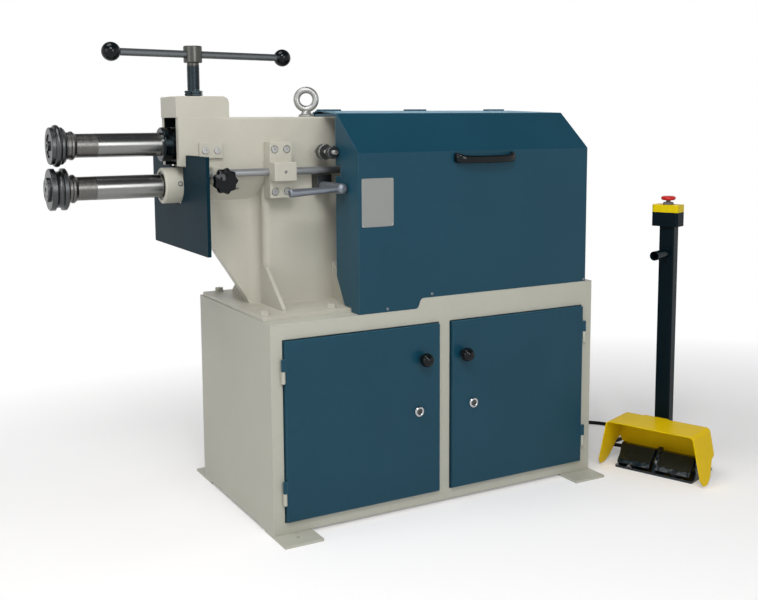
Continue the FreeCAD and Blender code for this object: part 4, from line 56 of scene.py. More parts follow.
# %% [markdown]
# ## The camera
#
# The photographer stood to the front left, a little above the spindles, and looked slightly
# down. A camera is placed by its point in space and by three directions: what is right, what
# is up and what is ahead. Built from the yaw, pitch and roll angles, those directions become
# the columns of its matrix. The picture is cut a little low, which is a shift of the lens
# and not a tilt, so upright edges keep their slant.

# %% Camera
CAMERA_POINT = Vector((-1.73005, -2.97818, 1.23526))
CAMERA_YAW = math.radians(29.12)
CAMERA_PITCH = math.radians(6.80)
CAMERA_ROLL = math.radians(-0.32)
LENS_LENGTH, SENSOR_WIDTH = 48.40, 36.0
PICTURE_WIDTH, PICTURE_DROP = 758, 60

level_right = Vector((math.cos(CAMERA_YAW), -math.sin(CAMERA_YAW), 0))
level_ahead = Vector((math.sin(CAMERA_YAW), math.cos(CAMERA_YAW), 0))
ahead = level_ahead * math.cos(CAMERA_PITCH) - Z_AXIS * math.sin(CAMERA_PITCH)
over = Z_AXIS * math.cos(CAMERA_PITCH) + level_ahead * math.sin(CAMERA_PITCH)
right = level_right * math.cos(CAMERA_ROLL) + over * math.sin(CAMERA_ROLL)
up = over * math.cos(CAMERA_ROLL) - level_right * math.sin(CAMERA_ROLL)

lens = bpy.data.cameras.new("camera")
lens.lens = LENS_LENGTH
lens.sensor_width = SENSOR_WIDTH
lens.shift_y = -PICTURE_DROP / PICTURE_WIDTH
camera = bpy.data.objects.new("camera", lens)
camera.matrix_world = Matrix((
    (right.x, up.x, -ahead.x, CAMERA_POINT.x),
    (right.y, up.y, -ahead.y, CAMERA_POINT.y),
    (right.z, up.z, -ahead.z, CAMERA_POINT.z),
    (0, 0, 0, 1),
))
scene.collection.objects.link(camera)
scene.camera = camera
print("camera", tuple(round(value, 3) for value in CAMERA_POINT), "lens", lens.lens)

# %% [markdown]
# ## Small tools for making pieces
#
# Every new piece is a mesh whose place is in its points, so its object can stay at the
# origin. `piece` turns a finished bmesh into such an object, hands it a material, and lets
# it ride on the part of the machine that carries it. `slab` starts a plate or a bar from a
# cube, `smooth` shades curved faces softly but keeps the real edges sharp, and `stand` ends
# a shape that was made upright about the origin.

# %% Making a piece
def piece(name, shape, material, body):
    mesh = bpy.data.meshes.new(name)
    shape.to_mesh(mesh)
    shape.free()
    mesh.materials.append(material)
    made = bpy.data.objects.new(name, mesh)
    scene.collection.objects.link(made)
    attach(made, body)
    print(name, len(mesh.polygons), "faces")
    return made


def slab(size):
    """A cube about the origin, drawn out to a width, depth and height."""
    shape = bmesh.new()
    bmesh.ops.create_cube(shape, size=1.0)
    bmesh.ops.scale(shape, vec=size, verts=shape.verts)
    return shape


def smooth(shape, bend=35):
    """Smooth shading, but for edges that bend more than an angle in degrees."""
    for face in shape.faces:
        face.smooth = True
    for edge in shape.edges:
        if len(edge.link_faces) == 2:
            edge.smooth = edge.calc_face_angle() < math.radians(bend)


def aim(direction, origin):
    """Matrix that lays a shape's Z axis along a direction, at a point."""
    return Matrix.Translation(origin) @ direction.to_track_quat("Z", "Y").to_matrix().to_4x4()


def stand(shape, direction, origin, bend=35):
    """Turn a shape's faces outwards, put it in its place and smooth it."""
    bmesh.ops.recalc_face_normals(shape, faces=shape.faces)
    bmesh.ops.transform(shape, matrix=aim(direction, origin), verts=shape.verts)
    smooth(shape, bend)


# %% [markdown]
# Round pieces are turned, as on a lathe. A half outline of radius and height is spun once
# about the Z axis, and the last ring is merged with the first. A ring that starts and ends
# on the axis closes by itself, and one with a bore closes because its outline is a loop.

# %% Turning on the lathe
MERGE_DISTANCE = 1e-6


def lathe(outline, direction, origin, steps=48, ring=False, bend=35):
    shape = bmesh.new()
    points = [shape.verts.new((radius, 0, height)) for radius, height in outline]
    edges = [shape.edges.new(pair) for pair in zip(points, points[1:])]
    if ring:
        edges.append(shape.edges.new((points[-1], points[0])))
    bmesh.ops.spin(shape, geom=points + edges, cent=(0, 0, 0), axis=Z_AXIS, dvec=(0, 0, 0),
                   angle=math.tau, steps=steps, use_merge=True, use_duplicate=False)
    bmesh.ops.remove_doubles(shape, verts=shape.verts, dist=MERGE_DISTANCE)
    stand(shape, direction, origin, bend)
    return shape


# %% [markdown]
# ## Shared effects
#
# Several finishes need the same three things: a fine relief, a slow drift of colour, and
# edges that are softly rounded where the model's are sharp. Each effect is a node group
# with named inputs, so that paint, plastic and steel can use it with values of their own.
# All of them read Object coordinates, which stay with the machine from every side. A few
# helpers come first: `feed` gives a node's inputs a number, a colour or another node's
# output, `add_node` adds one with its settings, and the others add the kinds used most.

# %% Node helpers
def feed(tree, node, inputs):
    for place, value in inputs.items():
        socket = node.inputs[place]
        if isinstance(value, bpy.types.NodeSocket):
            tree.links.new(value, socket)
        else:
            socket.default_value = (*value, 1) if socket.type == "RGBA" else value


def add_node(tree, kind, inputs=None, **settings):
    """Add a node and hand back its outputs."""
    node = tree.nodes.new(kind)
    for setting, value in settings.items():
        setattr(node, setting, value)
    feed(tree, node, inputs or {})
    return node.outputs


def noise(tree, vector, scale, detail=2.0, rough=0.5):
    return add_node(tree, "ShaderNodeTexNoise", {
        "Vector": vector, "Scale": scale, "Detail": detail, "Roughness": rough})["Fac"]


def calculate(tree, operation, *values, clamp=False):
    return add_node(tree, "ShaderNodeMath", dict(enumerate(values)), operation=operation,
                    use_clamp=clamp)[0]


def mix_colours(tree, factor, first, second):
    """The Mix node's factor is its input 0, its colours are inputs 6 and 7 and output 2."""
    return add_node(tree, "ShaderNodeMix", {0: factor, 6: first, 7: second}, data_type="RGBA")[2]


def raise_relief(tree, height, normal):
    """Bend a normal by a height in metres."""
    return add_node(tree, "ShaderNodeBump", {
        "Strength": 1.0, "Distance": 1.0, "Height": height, "Normal": normal})["Normal"]


# %% [markdown]
# A group is started from its sockets. An input that is given as a number becomes a float
# socket with that number as its default.

# %% Node group helper
FLOAT, COLOUR, VECTOR = "NodeSocketFloat", "NodeSocketColor", "NodeSocketVector"


def group_with(name, inputs, outputs):
    group = bpy.data.node_groups.new(name, "ShaderNodeTree")
    for label, value in inputs.items():
        is_number = isinstance(value, float)
        kind = FLOAT if is_number else value
        socket = group.interface.new_socket(label, in_out="INPUT", socket_type=kind)
        if is_number:
            socket.default_value = value
    for label, kind in outputs.items():
        group.interface.new_socket(label, in_out="OUTPUT", socket_type=kind)
    return group, add_node(group, "NodeGroupInput"), group.nodes.new("NodeGroupOutput")


# %% [markdown]
# The first group drifts between two close colours over some ten centimetres and adds a
# little finer mottling. No painted sheet has one single colour: the spray lays on more in
# one place than in another, and hands and oil have left their traces.

# %% Group: drifting colour
FINE_TIMES, MIDDLE_OF_NOISE = 14.0, 0.5
SLOW_SHARE, FINE_SHARE = 0.7, 0.3
DRIFT_CONTRAST, DRIFT_START = 2.6, -0.8
drift, given, result = group_with(
    "colour_drift",
    {"Vector": VECTOR, "First": COLOUR, "Second": COLOUR, "Scale": 5.0, "Roughness": 0.4, "Spread": 0.08},
    {"Color": COLOUR, "Roughness": FLOAT})
slow = noise(drift, given["Vector"], given["Scale"], 3.0)
fine = noise(drift, given["Vector"], calculate(drift, "MULTIPLY", given["Scale"], FINE_TIMES), 4.0, 0.6)
both = calculate(drift, "ADD", calculate(drift, "MULTIPLY", slow, SLOW_SHARE),
                 calculate(drift, "MULTIPLY", fine, FINE_SHARE))
wide = calculate(drift, "MULTIPLY_ADD", both, DRIFT_CONTRAST, DRIFT_START, clamp=True)
centred = calculate(drift, "SUBTRACT", fine, MIDDLE_OF_NOISE)
feed(drift, result, {
    "Color": mix_colours(drift, wide, given["First"], given["Second"]),
    "Roughness": calculate(drift, "MULTIPLY_ADD", centred, given["Spread"], given["Roughness"])})
print("group", drift.name, len(drift.nodes), "nodes")

# %% [markdown]
# The second group makes relief. A coarse noise stands for the soft waves of a filled
# casting or a rolled sheet, a fine one for the orange peel of spray paint or the grain of
# a mould. The Bevel node rounds the normals near an edge, by a radius in metres, so a bent
# sheet catches a line of light along its fold though its mesh is sharp. It also says where
# the edges are: there its normal leaves the true one.

# %% Group: relief and soft edges
EDGE_GAIN, EDGE_START = 14.0, -0.35
relief, given, result = group_with(
    "relief",
    {"Vector": VECTOR, "Fine scale": 500.0, "Fine depth": 0.00004, "Wave scale": 20.0,
     "Wave depth": 0.0004, "Edge radius": 0.002},
    {"Normal": VECTOR, "Edge": FLOAT})
grain = noise(relief, given["Vector"], given["Fine scale"])
wave = noise(relief, given["Vector"], given["Wave scale"], 1.0)
height = calculate(relief, "ADD", calculate(relief, "MULTIPLY", grain, given["Fine depth"]),
                   calculate(relief, "MULTIPLY", wave, given["Wave depth"]))
rounded = add_node(relief, "ShaderNodeBevel", {"Radius": given["Edge radius"]}, samples=4)["Normal"]
surface = add_node(relief, "ShaderNodeNewGeometry")
turning = add_node(relief, "ShaderNodeVectorMath", {0: rounded, 1: surface["True Normal"]},
                   operation="DOT_PRODUCT")
away = calculate(relief, "SUBTRACT", 1.0, turning["Value"])
feed(relief, result, {
    "Normal": raise_relief(relief, height, rounded),
    "Edge": calculate(relief, "MULTIPLY_ADD", away, EDGE_GAIN, EDGE_START, clamp=True)})
print("group", relief.name, len(relief.nodes), "nodes")

# %% [markdown]
# The third group is for worked metal. Turning and grinding leave fine parallel lines. A
# noise that is squeezed along one axis and stretched along the others gives such lines, and
# a Mapping node in each material chooses the axis. The lines vary the roughness and the
# relief, and a little of the colour, and a second, slow noise adds smears to the roughness.

# %% Group: worked lines
SMEAR_SCALE = 0.05
lines, given, result = group_with(
    "worked_lines",
    {"Vector": VECTOR, "Color": COLOUR, "Line color": COLOUR, "Roughness": 0.25, "Spread": 0.15,
     "Depth": 0.00002},
    {"Color": COLOUR, "Roughness": FLOAT, "Height": FLOAT})
scratches = noise(lines, given["Vector"], 1.0, 3.0, 0.6)
smears = noise(lines, given["Vector"], SMEAR_SCALE)
swing = calculate(lines, "ADD", calculate(lines, "SUBTRACT", scratches, MIDDLE_OF_NOISE),
                  calculate(lines, "SUBTRACT", smears, MIDDLE_OF_NOISE))
feed(lines, result, {
    "Color": mix_colours(lines, scratches, given["Color"], given["Line color"]),
    "Roughness": calculate(lines, "MULTIPLY_ADD", swing, given["Spread"], given["Roughness"]),
    "Height": calculate(lines, "MULTIPLY", scratches, given["Depth"])})
print("group", lines.name, len(lines.nodes), "nodes")

# %% [markdown]
# ## Coated finishes
#
# Paint, powder coat and moulded plastic are one recipe with different numbers: a dielectric
# with two close colours, a relief, and edges of another shade, mostly lighter: partly a
# thinner coat there, partly a painted highlight along the edge. The plain numbers, such as
# shine and sheen, go straight on the shader's sockets. Sheen is a faint glow at a flat
# angle, as fine dust gives a sheet that isn't polished.

# %% Coating helpers
SHEEN_ROUGHNESS = 0.3


def new_material(name):
    material = bpy.data.materials.new(name)
    material.use_nodes = True
    tree = material.node_tree
    return material, tree, tree.nodes["Principled BSDF"], add_node(tree, "ShaderNodeTexCoord")["Object"]


def placed_group(tree, group, place, **values):
    """A group in a material. An underscore in a value's name stands for a space."""
    inputs = {label.replace("_", " "): value for label, value in values.items()}
    return add_node(tree, "ShaderNodeGroup", {"Vector": place, **inputs}, node_tree=group)


def coated(name, first, second, edge, roughness, spread=0.08, scale=4.0, fine_scale=450.0,
           fine_depth=0.00003, wave_scale=14.0, wave_depth=0.0003, edge_radius=0.002,
           shine=0.25, sheen=0.0, sheen_tint=(1.0, 1.0, 1.0)):
    material, tree, shader, place = new_material(name)
    colour = placed_group(tree, drift, place, First=first, Second=second, Scale=scale,
                          Roughness=roughness, Spread=spread)
    skin = placed_group(tree, relief, place, Fine_scale=fine_scale, Fine_depth=fine_depth,
                        Wave_scale=wave_scale, Wave_depth=wave_depth, Edge_radius=edge_radius)
    # the edge colour is partly a thinner coat and partly a painted highlight along each edge
    feed(tree, shader, {
        "Base Color": mix_colours(tree, skin["Edge"], colour["Color"], edge),
        "Roughness": colour["Roughness"], "Normal": skin["Normal"], "Specular IOR Level": shine,
        "Sheen Weight": sheen, "Sheen Roughness": SHEEN_ROUGHNESS, "Sheen Tint": sheen_tint})
    return material


# %% [markdown]
# A few places have another colour than the rest of their piece: the slot in the painted
# head is painted near-black, as painted shade inside the recess. A mask from the Object
# coordinates says which points lie between two corners, and a Mix node lays the other
# colour there, so the model's mesh isn't cut.

# %% Another colour between two corners
def inside(tree, place, low, high):
    """Mask that is 1 between two corners and 0 elsewhere."""
    split = add_node(tree, "ShaderNodeSeparateXYZ", {0: place})
    mask = 1.0
    for axis in range(3):
        above = calculate(tree, "GREATER_THAN", split[axis], low[axis])
        below = calculate(tree, "LESS_THAN", split[axis], high[axis])
        mask = calculate(tree, "MULTIPLY", calculate(tree, "MULTIPLY", above, below), mask)
    return mask


def recolour_inside(material, low, high, colour):
    tree = material.node_tree
    shader = tree.nodes["Principled BSDF"]
    before = shader.inputs["Base Color"].links[0].from_socket
    mask = inside(tree, add_node(tree, "ShaderNodeTexCoord")["Object"], low, high)
    feed(tree, shader, {"Base Color": mix_colours(tree, mask, before, colour)})


# %% [markdown]
# The machine's own paints: warm grey-white on cabinet and casting, a deep grey-blue gloss
# on hood and doors, and a darker slate on the stop plate. The casting is filled and sanded
# by hand before it is painted, so it has longer and deeper waves than the bent sheets. Its
# slot for the upper bearing block is painted near-black, as painted shade inside the slot.
# The sheen of the hood and the doors is tinted blue, or an open door would look white edge-on.

# %% Paints
HEAD_SLOT_LOW, HEAD_SLOT_HIGH = (-0.815, -0.0352, 1.0985), (-0.62, 0.0752, 1.2410)
SLOT_SHADE_BLACK = (0.004, 0.008, 0.010)
cream_sheet = coated("cream_sheet_paint", (0.45, 0.45, 0.385), (0.48, 0.48, 0.41), (0.54, 0.54, 0.47),
                     0.42, wave_depth=0.0005, wave_scale=5.0, edge_radius=0.0025)
cream_cast = coated("cream_casting_paint", (0.49, 0.475, 0.405), (0.53, 0.515, 0.44),
                    (0.60, 0.59, 0.51), 0.40, scale=7.0, wave_scale=28.0, wave_depth=0.0012,
                    fine_depth=0.00005, edge_radius=0.003)
# painted shade: the head's slot is coloured near-black where shade falls inside it
recolour_inside(cream_cast, HEAD_SLOT_LOW, HEAD_SLOT_HIGH, SLOT_SHADE_BLACK)
blue = coated("blue_gloss_paint", (0.003, 0.044, 0.074), (0.005, 0.052, 0.085), (0.03, 0.10, 0.14),
              0.34, spread=0.05, wave_scale=3.5, wave_depth=0.0006, edge_radius=0.003,
              sheen=0.8, sheen_tint=(0.2, 0.5, 0.7))
slate = coated("slate_paint", (0.001, 0.016, 0.026), (0.002, 0.022, 0.035), (0.001, 0.005, 0.009),
               0.45, wave_scale=6.0, edge_radius=0.0015, shine=0.04)
black_paint = coated("black_gloss_paint", (0.0015, 0.006, 0.009), (0.002, 0.008, 0.012),
                     (0.006, 0.014, 0.018), 0.24, wave_scale=20.0, wave_depth=0.0004, shine=0.06)
black_moulding = coated("black_treadle_moulding", (0.0015, 0.006, 0.009), (0.003, 0.009, 0.013),
                        (0.012, 0.022, 0.028), 0.15, wave_scale=38.0, wave_depth=0.0030,
                        edge_radius=0.003, shine=0.5)
yellow_paint = coated("yellow_guard_paint", (0.76, 0.51, 0.002), (0.84, 0.58, 0.002),
                      (0.90, 0.70, 0.006), 0.42, wave_scale=10.0, edge_radius=0.0015, shine=0.06)
grey_paint = coated("grey_machine_paint", (0.15, 0.17, 0.19), (0.19, 0.21, 0.23), (0.26, 0.28, 0.30),
                    0.45, wave_scale=30.0, wave_depth=0.0006)
print("head slot from", HEAD_SLOT_LOW, "to", HEAD_SLOT_HIGH)

# %% [markdown]
# The plastics have hardly any waves but a fine even grain. Knobs and balls are polished, so
# theirs is almost nothing, while the switch box has the dull grain of a cheap mould. Small
# pieces get a small edge radius, because a wide one would round them all over.

# %% Plastics and rubber
black_gloss = coated("black_knob_plastic", (0.002, 0.004, 0.005), (0.004, 0.006, 0.007),
                     (0.006, 0.009, 0.010), 0.07, spread=0.03, fine_depth=0.000002,
                     wave_depth=0.00002, edge_radius=0.0004, shine=0.2)
black_matte = coated("black_box_plastic", (0.002, 0.006, 0.009), (0.003, 0.008, 0.012),
                     (0.008, 0.014, 0.018), 0.42, fine_scale=900.0, fine_depth=0.00001,
                     wave_depth=0.00002, edge_radius=0.0012, shine=0.05)
yellow_plastic = coated("yellow_box_plastic", (0.66, 0.48, 0.002), (0.72, 0.54, 0.003),
                        (0.84, 0.68, 0.008), 0.38, fine_scale=300.0, fine_depth=0.000001,
                        wave_depth=0.00002, edge_radius=0.0006, shine=0.10)
red_plastic = coated("red_button_plastic", (0.46, 0.010, 0.010), (0.54, 0.014, 0.014),
                     (0.68, 0.05, 0.04), 0.3, fine_scale=300.0, fine_depth=0.000001,
                     wave_depth=0.00001, edge_radius=0.0004)
grey_plastic = coated("grey_collar_plastic", (0.10, 0.10, 0.10), (0.13, 0.13, 0.13),
                      (0.18, 0.18, 0.18), 0.4, fine_scale=900.0, wave_depth=0.00001,
                      edge_radius=0.0008)
rubber = coated("cord_rubber", (0.004, 0.004, 0.005), (0.008, 0.008, 0.008), (0.014, 0.014, 0.014),
                0.55, fine_scale=1400.0, wave_depth=0.00001, edge_radius=0.0005, shine=0.15)
print("coated finishes", len(bpy.data.materials))

# %% [markdown]
# ## Metals
#
# A metal shows little but what it mirrors, so its finish is in its roughness. The worked
# lines run round each piece: for a spindle they are squeezed along X, for the lift screw
# along Z, and for plates and small parts in no direction at all.

# %% Metal helper
SQUEEZED, STRETCHED = 900.0, 12.0
ALONG_X = (SQUEEZED, STRETCHED, STRETCHED)
ALONG_Z = (STRETCHED, STRETCHED, SQUEEZED)
ALL_WAYS = (260.0, 260.0, 260.0)
METAL_GRAIN = {"Fine_scale": 700.0, "Fine_depth": 0.000004, "Wave_scale": 40.0, "Wave_depth": 0.0}


def metal(name, colour, line_colour, roughness, spread, direction, depth=0.00001, metallic=1.0,
          edge_radius=0.0012):
    material, tree, shader, place = new_material(name)
    turned = add_node(tree, "ShaderNodeMapping", {"Vector": place, "Scale": direction})["Vector"]
    worked = placed_group(tree, lines, turned, Color=colour, Line_color=line_colour,
                          Roughness=roughness, Spread=spread, Depth=depth)
    skin = placed_group(tree, relief, place, Edge_radius=edge_radius, **METAL_GRAIN)
    feed(tree, shader, {
        "Base Color": worked["Color"], "Roughness": worked["Roughness"], "Metallic": metallic,
        "Normal": raise_relief(tree, worked["Height"], skin["Normal"])})
    return material


# %% Metals
SCREW_HUB_LOW, SCREW_HUB_HIGH = (-0.8, -0.1, 1.394), (-0.6, 0.1, 1.5)
HUB_GREY = (0.085, 0.085, 0.08)
ground_steel = metal("ground_steel", (0.20, 0.205, 0.205), (0.25, 0.25, 0.24), 0.22, 0.07, ALONG_X,
                     0.000002, edge_radius=0.0004)
zinc_x = metal("zinc_rod_steel", (0.27, 0.28, 0.29), (0.34, 0.35, 0.36), 0.34, 0.1, ALONG_X,
               0.000002, metallic=0.6)
zinc = metal("zinc_plated_steel", (0.34, 0.345, 0.34), (0.40, 0.40, 0.39), 0.38, 0.06, ALL_WAYS,
             0.000001, metallic=0.75, edge_radius=0.0003)
zinc_blue = metal("blue_passivated_zinc", (0.17, 0.19, 0.22), (0.23, 0.25, 0.28), 0.38, 0.1,
                  ALL_WAYS, 0.000003, metallic=0.7)
black_steel = metal("blackened_steel", (0.060, 0.064, 0.066), (0.095, 0.098, 0.100), 0.34, 0.15,
                    ALONG_X, 0.000004)
block_steel = metal("black_bearing_steel", (0.008, 0.013, 0.016), (0.020, 0.027, 0.031), 0.22, 0.1,
                    ALONG_X, 0.000003)
bar_steel = metal("blackened_bar_steel", (0.13, 0.145, 0.155), (0.17, 0.185, 0.195), 0.42, 0.1,
                  ALONG_X, 0.000003, metallic=0.85)
black_steel_z = metal("blackened_screw_steel", (0.03, 0.043, 0.05), (0.05, 0.065, 0.074), 0.32, 0.1,
                      ALONG_Z, 0.000003)
recolour_inside(black_steel_z, SCREW_HUB_LOW, SCREW_HUB_HIGH, HUB_GREY)
worn_steel = metal("worn_sleeve_steel", (0.075, 0.075, 0.072), (0.19, 0.185, 0.175), 0.36, 0.3,
                   ALONG_X, 0.000005)
hub_steel = metal("turned_hub_steel", (0.13, 0.13, 0.125), (0.19, 0.19, 0.18), 0.38, 0.2, ALONG_Z,
                  0.000005)
cast_iron = metal("machined_cast_iron", (0.12, 0.12, 0.122), (0.2, 0.2, 0.2), 0.46, 0.25, ALONG_X)
chrome = metal("lock_chrome", (0.42, 0.43, 0.44), (0.50, 0.51, 0.52), 0.14, 0.05, ALL_WAYS, 0.000002)
bronze = metal("bush_bronze", (0.45, 0.29, 0.12), (0.54, 0.36, 0.16), 0.3, 0.15, ALONG_X)
alloy = metal("coupling_alloy", (0.50, 0.51, 0.52), (0.60, 0.61, 0.62), 0.32, 0.2, ALONG_X)
print("all finishes", len(bpy.data.materials))

# %% [markdown]
# ## Giving the model its finishes
#
# Each node of the model gets the finish of the real piece. A table from finish to nodes is
# easier to check against the machine than one line per node.

# %% Finishes of the model's nodes
finishes = {
    cream_sheet: ("floor_feet", "cabinet_shell", "cabinet_front_frame", "cabinet_top", "drive_stand"),
    cream_cast: ("machine_casting", "rod_bracket", "base_bolts"),
    blue: ("door_left", "door_right", "hood_shell", "rear_hood_cover"),
    slate: ("stop_plate",),
    black_paint: ("station_mast",),
    black_moulding: ("station_base", "pedal_left", "pedal_right"),
    yellow_paint: ("pedal_guard",),
    grey_paint: ("control_box", "gearbox", "drive_motor"),
    black_gloss: ("door_knob_left", "door_knob_right", "bar_balls", "star_knob", "hood_handle"),
    black_matte: ("button_box", "cord_glands"),
    yellow_plastic: ("button_box_cover",),
    red_plastic: ("emergency_button",),
    rubber: ("foot_cord",),
    ground_steel: ("upper_shaft", "lower_shaft"),
    zinc_x: ("stop_rod",),
    zinc: ("socket_screws", "eye_bolt", "upper_swivel_bearing"),
    zinc_blue: ("clamp_lever",),
    black_steel: ("upper_roll", "lower_roll", "upper_roll_nut", "lower_roll_cap", "lever_block",
                  "side_adjuster", "adjuster_ring", "thrust_pad"),
    block_steel: ("upper_bearing_block",),
    bar_steel: ("tommy_bar",),
    black_steel_z: ("lift_screw", "screw_jam_nuts"),
    worn_steel: ("upper_spacer", "lower_spacer", "lower_spindle_bushes"),
    cast_iron: ("upper_gear", "lower_gear", "bearing_stand"),
    chrome: ("cam_lock_left", "cam_lock_right"),
    bronze: ("lift_nut",),
    alloy: ("shaft_coupling",),
}
for finish, names in finishes.items():
    for name in names:
        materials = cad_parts[name].data.materials
        materials.clear()
        materials.append(finish)
bare = set(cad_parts) - {name for names in finishes.values() for name in names}
print("finishes", len(finishes), "nodes without one", sorted(bare))

# %% [markdown]
# ## The cord
#
# A rubber cord runs from a gland at the cabinet's right end, down to the floor, round in a
# loose bow, and back to the foot control. Its line is a NURBS spline through space: the
# points pull the line toward them without it passing through each, which is how a stiff
# cord lies. The round bevel gives it thickness.

# %% Cord
CORD_DIAMETER = 0.014
cord_route = [
    (0.626, 0.180, 0.062), (0.688, 0.180, 0.062), (0.748, 0.181, 0.024), (0.822, 0.177, 0.0072),
    (0.900, 0.158, 0.0072), (0.969, 0.117, 0.0072), (1.013, 0.059, 0.0072), (1.023, 0.005, 0.0072),
    (1.001, -0.059, 0.0072), (0.944, -0.107, 0.0072), (0.870, -0.119, 0.0072), (0.830, -0.156, 0.014),
    (0.8186, -0.2065, 0.030), (0.8368, -0.2530, 0.030),
]
line = bpy.data.curves.new("foot_cord_line", "CURVE")
line.dimensions = "3D"
line.resolution_u = 12
line.bevel_depth = CORD_DIAMETER / 2
line.bevel_resolution = 5
line.use_fill_caps = True
run = line.splines.new("NURBS")
run.points.add(len(cord_route) - 1)
for point, spot in zip(run.points, cord_route):
    point.co = (*spot, 1)
run.order_u = 3
run.use_endpoint_u = True
line.materials.append(rubber)
cord = bpy.data.objects.new("foot_cord_dressed", line)
scene.collection.objects.link(cord)
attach(cord, "frame")
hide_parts("foot_cord")
print("cord points", len(cord_route))

# %% [markdown]
# ## Screws with a hexagon socket
#
# The set screws of this machine have a six-sided socket. A ring of many points and a ring
# of six are bridged, which gives the flat end of the screw with its hole; pulling the inner
# ring down makes the socket, and pulling the outer ring down makes the wall. The rim of the
# head is then bevelled.

# %% Socket screws
SOCKET_SHARE, RIM_SHARE = 0.6, 0.12


def pull(shape, edges, depth):
    """Extrude a ring of edges along Z and give back the edges of its new end."""
    pulled = bmesh.ops.extrude_edge_only(shape, edges=edges)["geom"]
    points = [part for part in pulled if isinstance(part, bmesh.types.BMVert)]
    bmesh.ops.translate(shape, vec=(0, 0, depth), verts=points)
    return [part for part in pulled if isinstance(part, bmesh.types.BMEdge)
            and all(point in points for point in part.verts)]


def edges_of(points):
    return list({edge for point in points for edge in point.link_edges})


def socket_screw(radius, depth, socket, direction, origin):
    shape = bmesh.new()
    rings = []
    for size, count in ((radius, 36), (socket, 6)):
        points = bmesh.ops.create_circle(shape, segments=count, radius=size)["verts"]
        rings.append(edges_of(points))
    outer, inner = rings
    bmesh.ops.bridge_loops(shape, edges=outer + inner)
    floor_edges = pull(shape, inner, -depth * SOCKET_SHARE)
    bmesh.ops.edgeloop_fill(shape, edges=floor_edges)
    back_edges = pull(shape, outer, -depth)
    bmesh.ops.edgeloop_fill(shape, edges=back_edges)
    bmesh.ops.recalc_face_normals(shape, faces=shape.faces)
    bmesh.ops.bevel(shape, geom=outer, offset=radius * RIM_SHARE, affect="EDGES", segments=2,
                    profile=0.5, material=-1)
    bmesh.ops.transform(shape, matrix=aim(direction, origin), verts=shape.verts)
    smooth(shape)
    return shape


# %% [markdown]
# One such screw holds the bush in the casting's nose and sits in a low turned seat, one
# pinches the rod in its bracket, and a third, small one sits in the slope under the arm.
# Each screw's three sizes are its radius, its length and the radius of its socket.

# %% Set screws on the casting
SPINDLE_Y, LOWER_Z = 0.020, 1.038
NOSE_SCREW = (0.0062, 0.006, 0.0034)
PINCH_SCREW = (0.0048, 0.010, 0.0026)
SLOPE_SCREW = (0.0045, 0.005, 0.0024)
NOSE_X, NOSE_RADIUS, NOSE_TILT = -0.767, 0.054, 0.13
NOSE_PROUD, SEAT_LOWER, PINCH_SUNK = 0.0006, 0.0004, 0.004
SEAT_OUTLINE = [(0.0060, -0.004), (0.0060, 0.0003), (0.0078, 0.0003), (0.0080, -0.004)]
SLOPE_SPOT = Vector((-0.587, -0.0344, 1.0236))

nose_way = Vector((0, -math.cos(NOSE_TILT), math.sin(NOSE_TILT)))
nose_spot = Vector((NOSE_X, SPINDLE_Y, LOWER_Z)) + nose_way * (NOSE_RADIUS + NOSE_PROUD)
nose_screw = socket_screw(*NOSE_SCREW, nose_way, nose_spot)
piece("nose_set_screw", nose_screw, zinc, "frame")
seat = lathe(SEAT_OUTLINE, nose_way, nose_spot - nose_way * SEAT_LOWER, 36, ring=True)
piece("nose_screw_seat", seat, black_steel, "frame")

bracket_low, bracket_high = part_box("rod_bracket")
rod_low, rod_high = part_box("stop_rod")
pinch_x, pinch_z = (bracket_low.x + bracket_high.x) / 2, (rod_low.z + rod_high.z) / 2
pinch_screw = socket_screw(*PINCH_SCREW, -Y_AXIS, Vector((pinch_x, bracket_low.y + PINCH_SUNK, pinch_z)))
piece("bracket_set_screw", pinch_screw, zinc, "frame")

slope_way = Vector((0, -1, -1)).normalized()
slope_screw = socket_screw(*SLOPE_SCREW, slope_way, SLOPE_SPOT)
piece("slope_set_screw", slope_screw, black_steel, "frame")

# %% [markdown]
# ## The thread of the lift screw
#
# The screw that presses the upper spindle down has a coarse thread. A thread is a small
# profile that turns and climbs at once, and the spin operator does just that when it is
# given a step along the axis. The profile is a low ridge with a flat top, sunk a little into
# the stem, and its widths are shares of the pitch. The two open ends are filled.

# %% Thread
ROOT_HALF, CREST_HALF, SUNK_SHARE = 0.42, 0.16, 0.3
THREAD_BEND = 25


def thread(radius, pitch, height, length, steps):
    shape = bmesh.new()
    root, crest = radius - height * SUNK_SHARE, radius + height
    corners = [(root, -ROOT_HALF), (crest, -CREST_HALF), (crest, CREST_HALF), (root, ROOT_HALF)]
    points = [shape.verts.new((size, 0, level * pitch)) for size, level in corners]
    profile = shape.faces.new(points)
    edges = list(profile.edges)
    shape.faces.remove(profile)
    end = bmesh.ops.spin(shape, geom=points + edges, cent=(0, 0, 0), axis=Z_AXIS,
                         dvec=(0, 0, length / steps), angle=math.tau * length / pitch, steps=steps,
                         use_merge=False, use_duplicate=False)["geom_last"]
    last = [part for part in end if isinstance(part, bmesh.types.BMEdge)]
    bmesh.ops.edgeloop_fill(shape, edges=edges)
    bmesh.ops.edgeloop_fill(shape, edges=last)
    bmesh.ops.recalc_face_normals(shape, faces=shape.faces)
    return shape


# %% [markdown]
# The ridge sits on the plain stem of the model. It starts above the jam nuts and stops
# below the hub, and it turns and climbs with the screw.

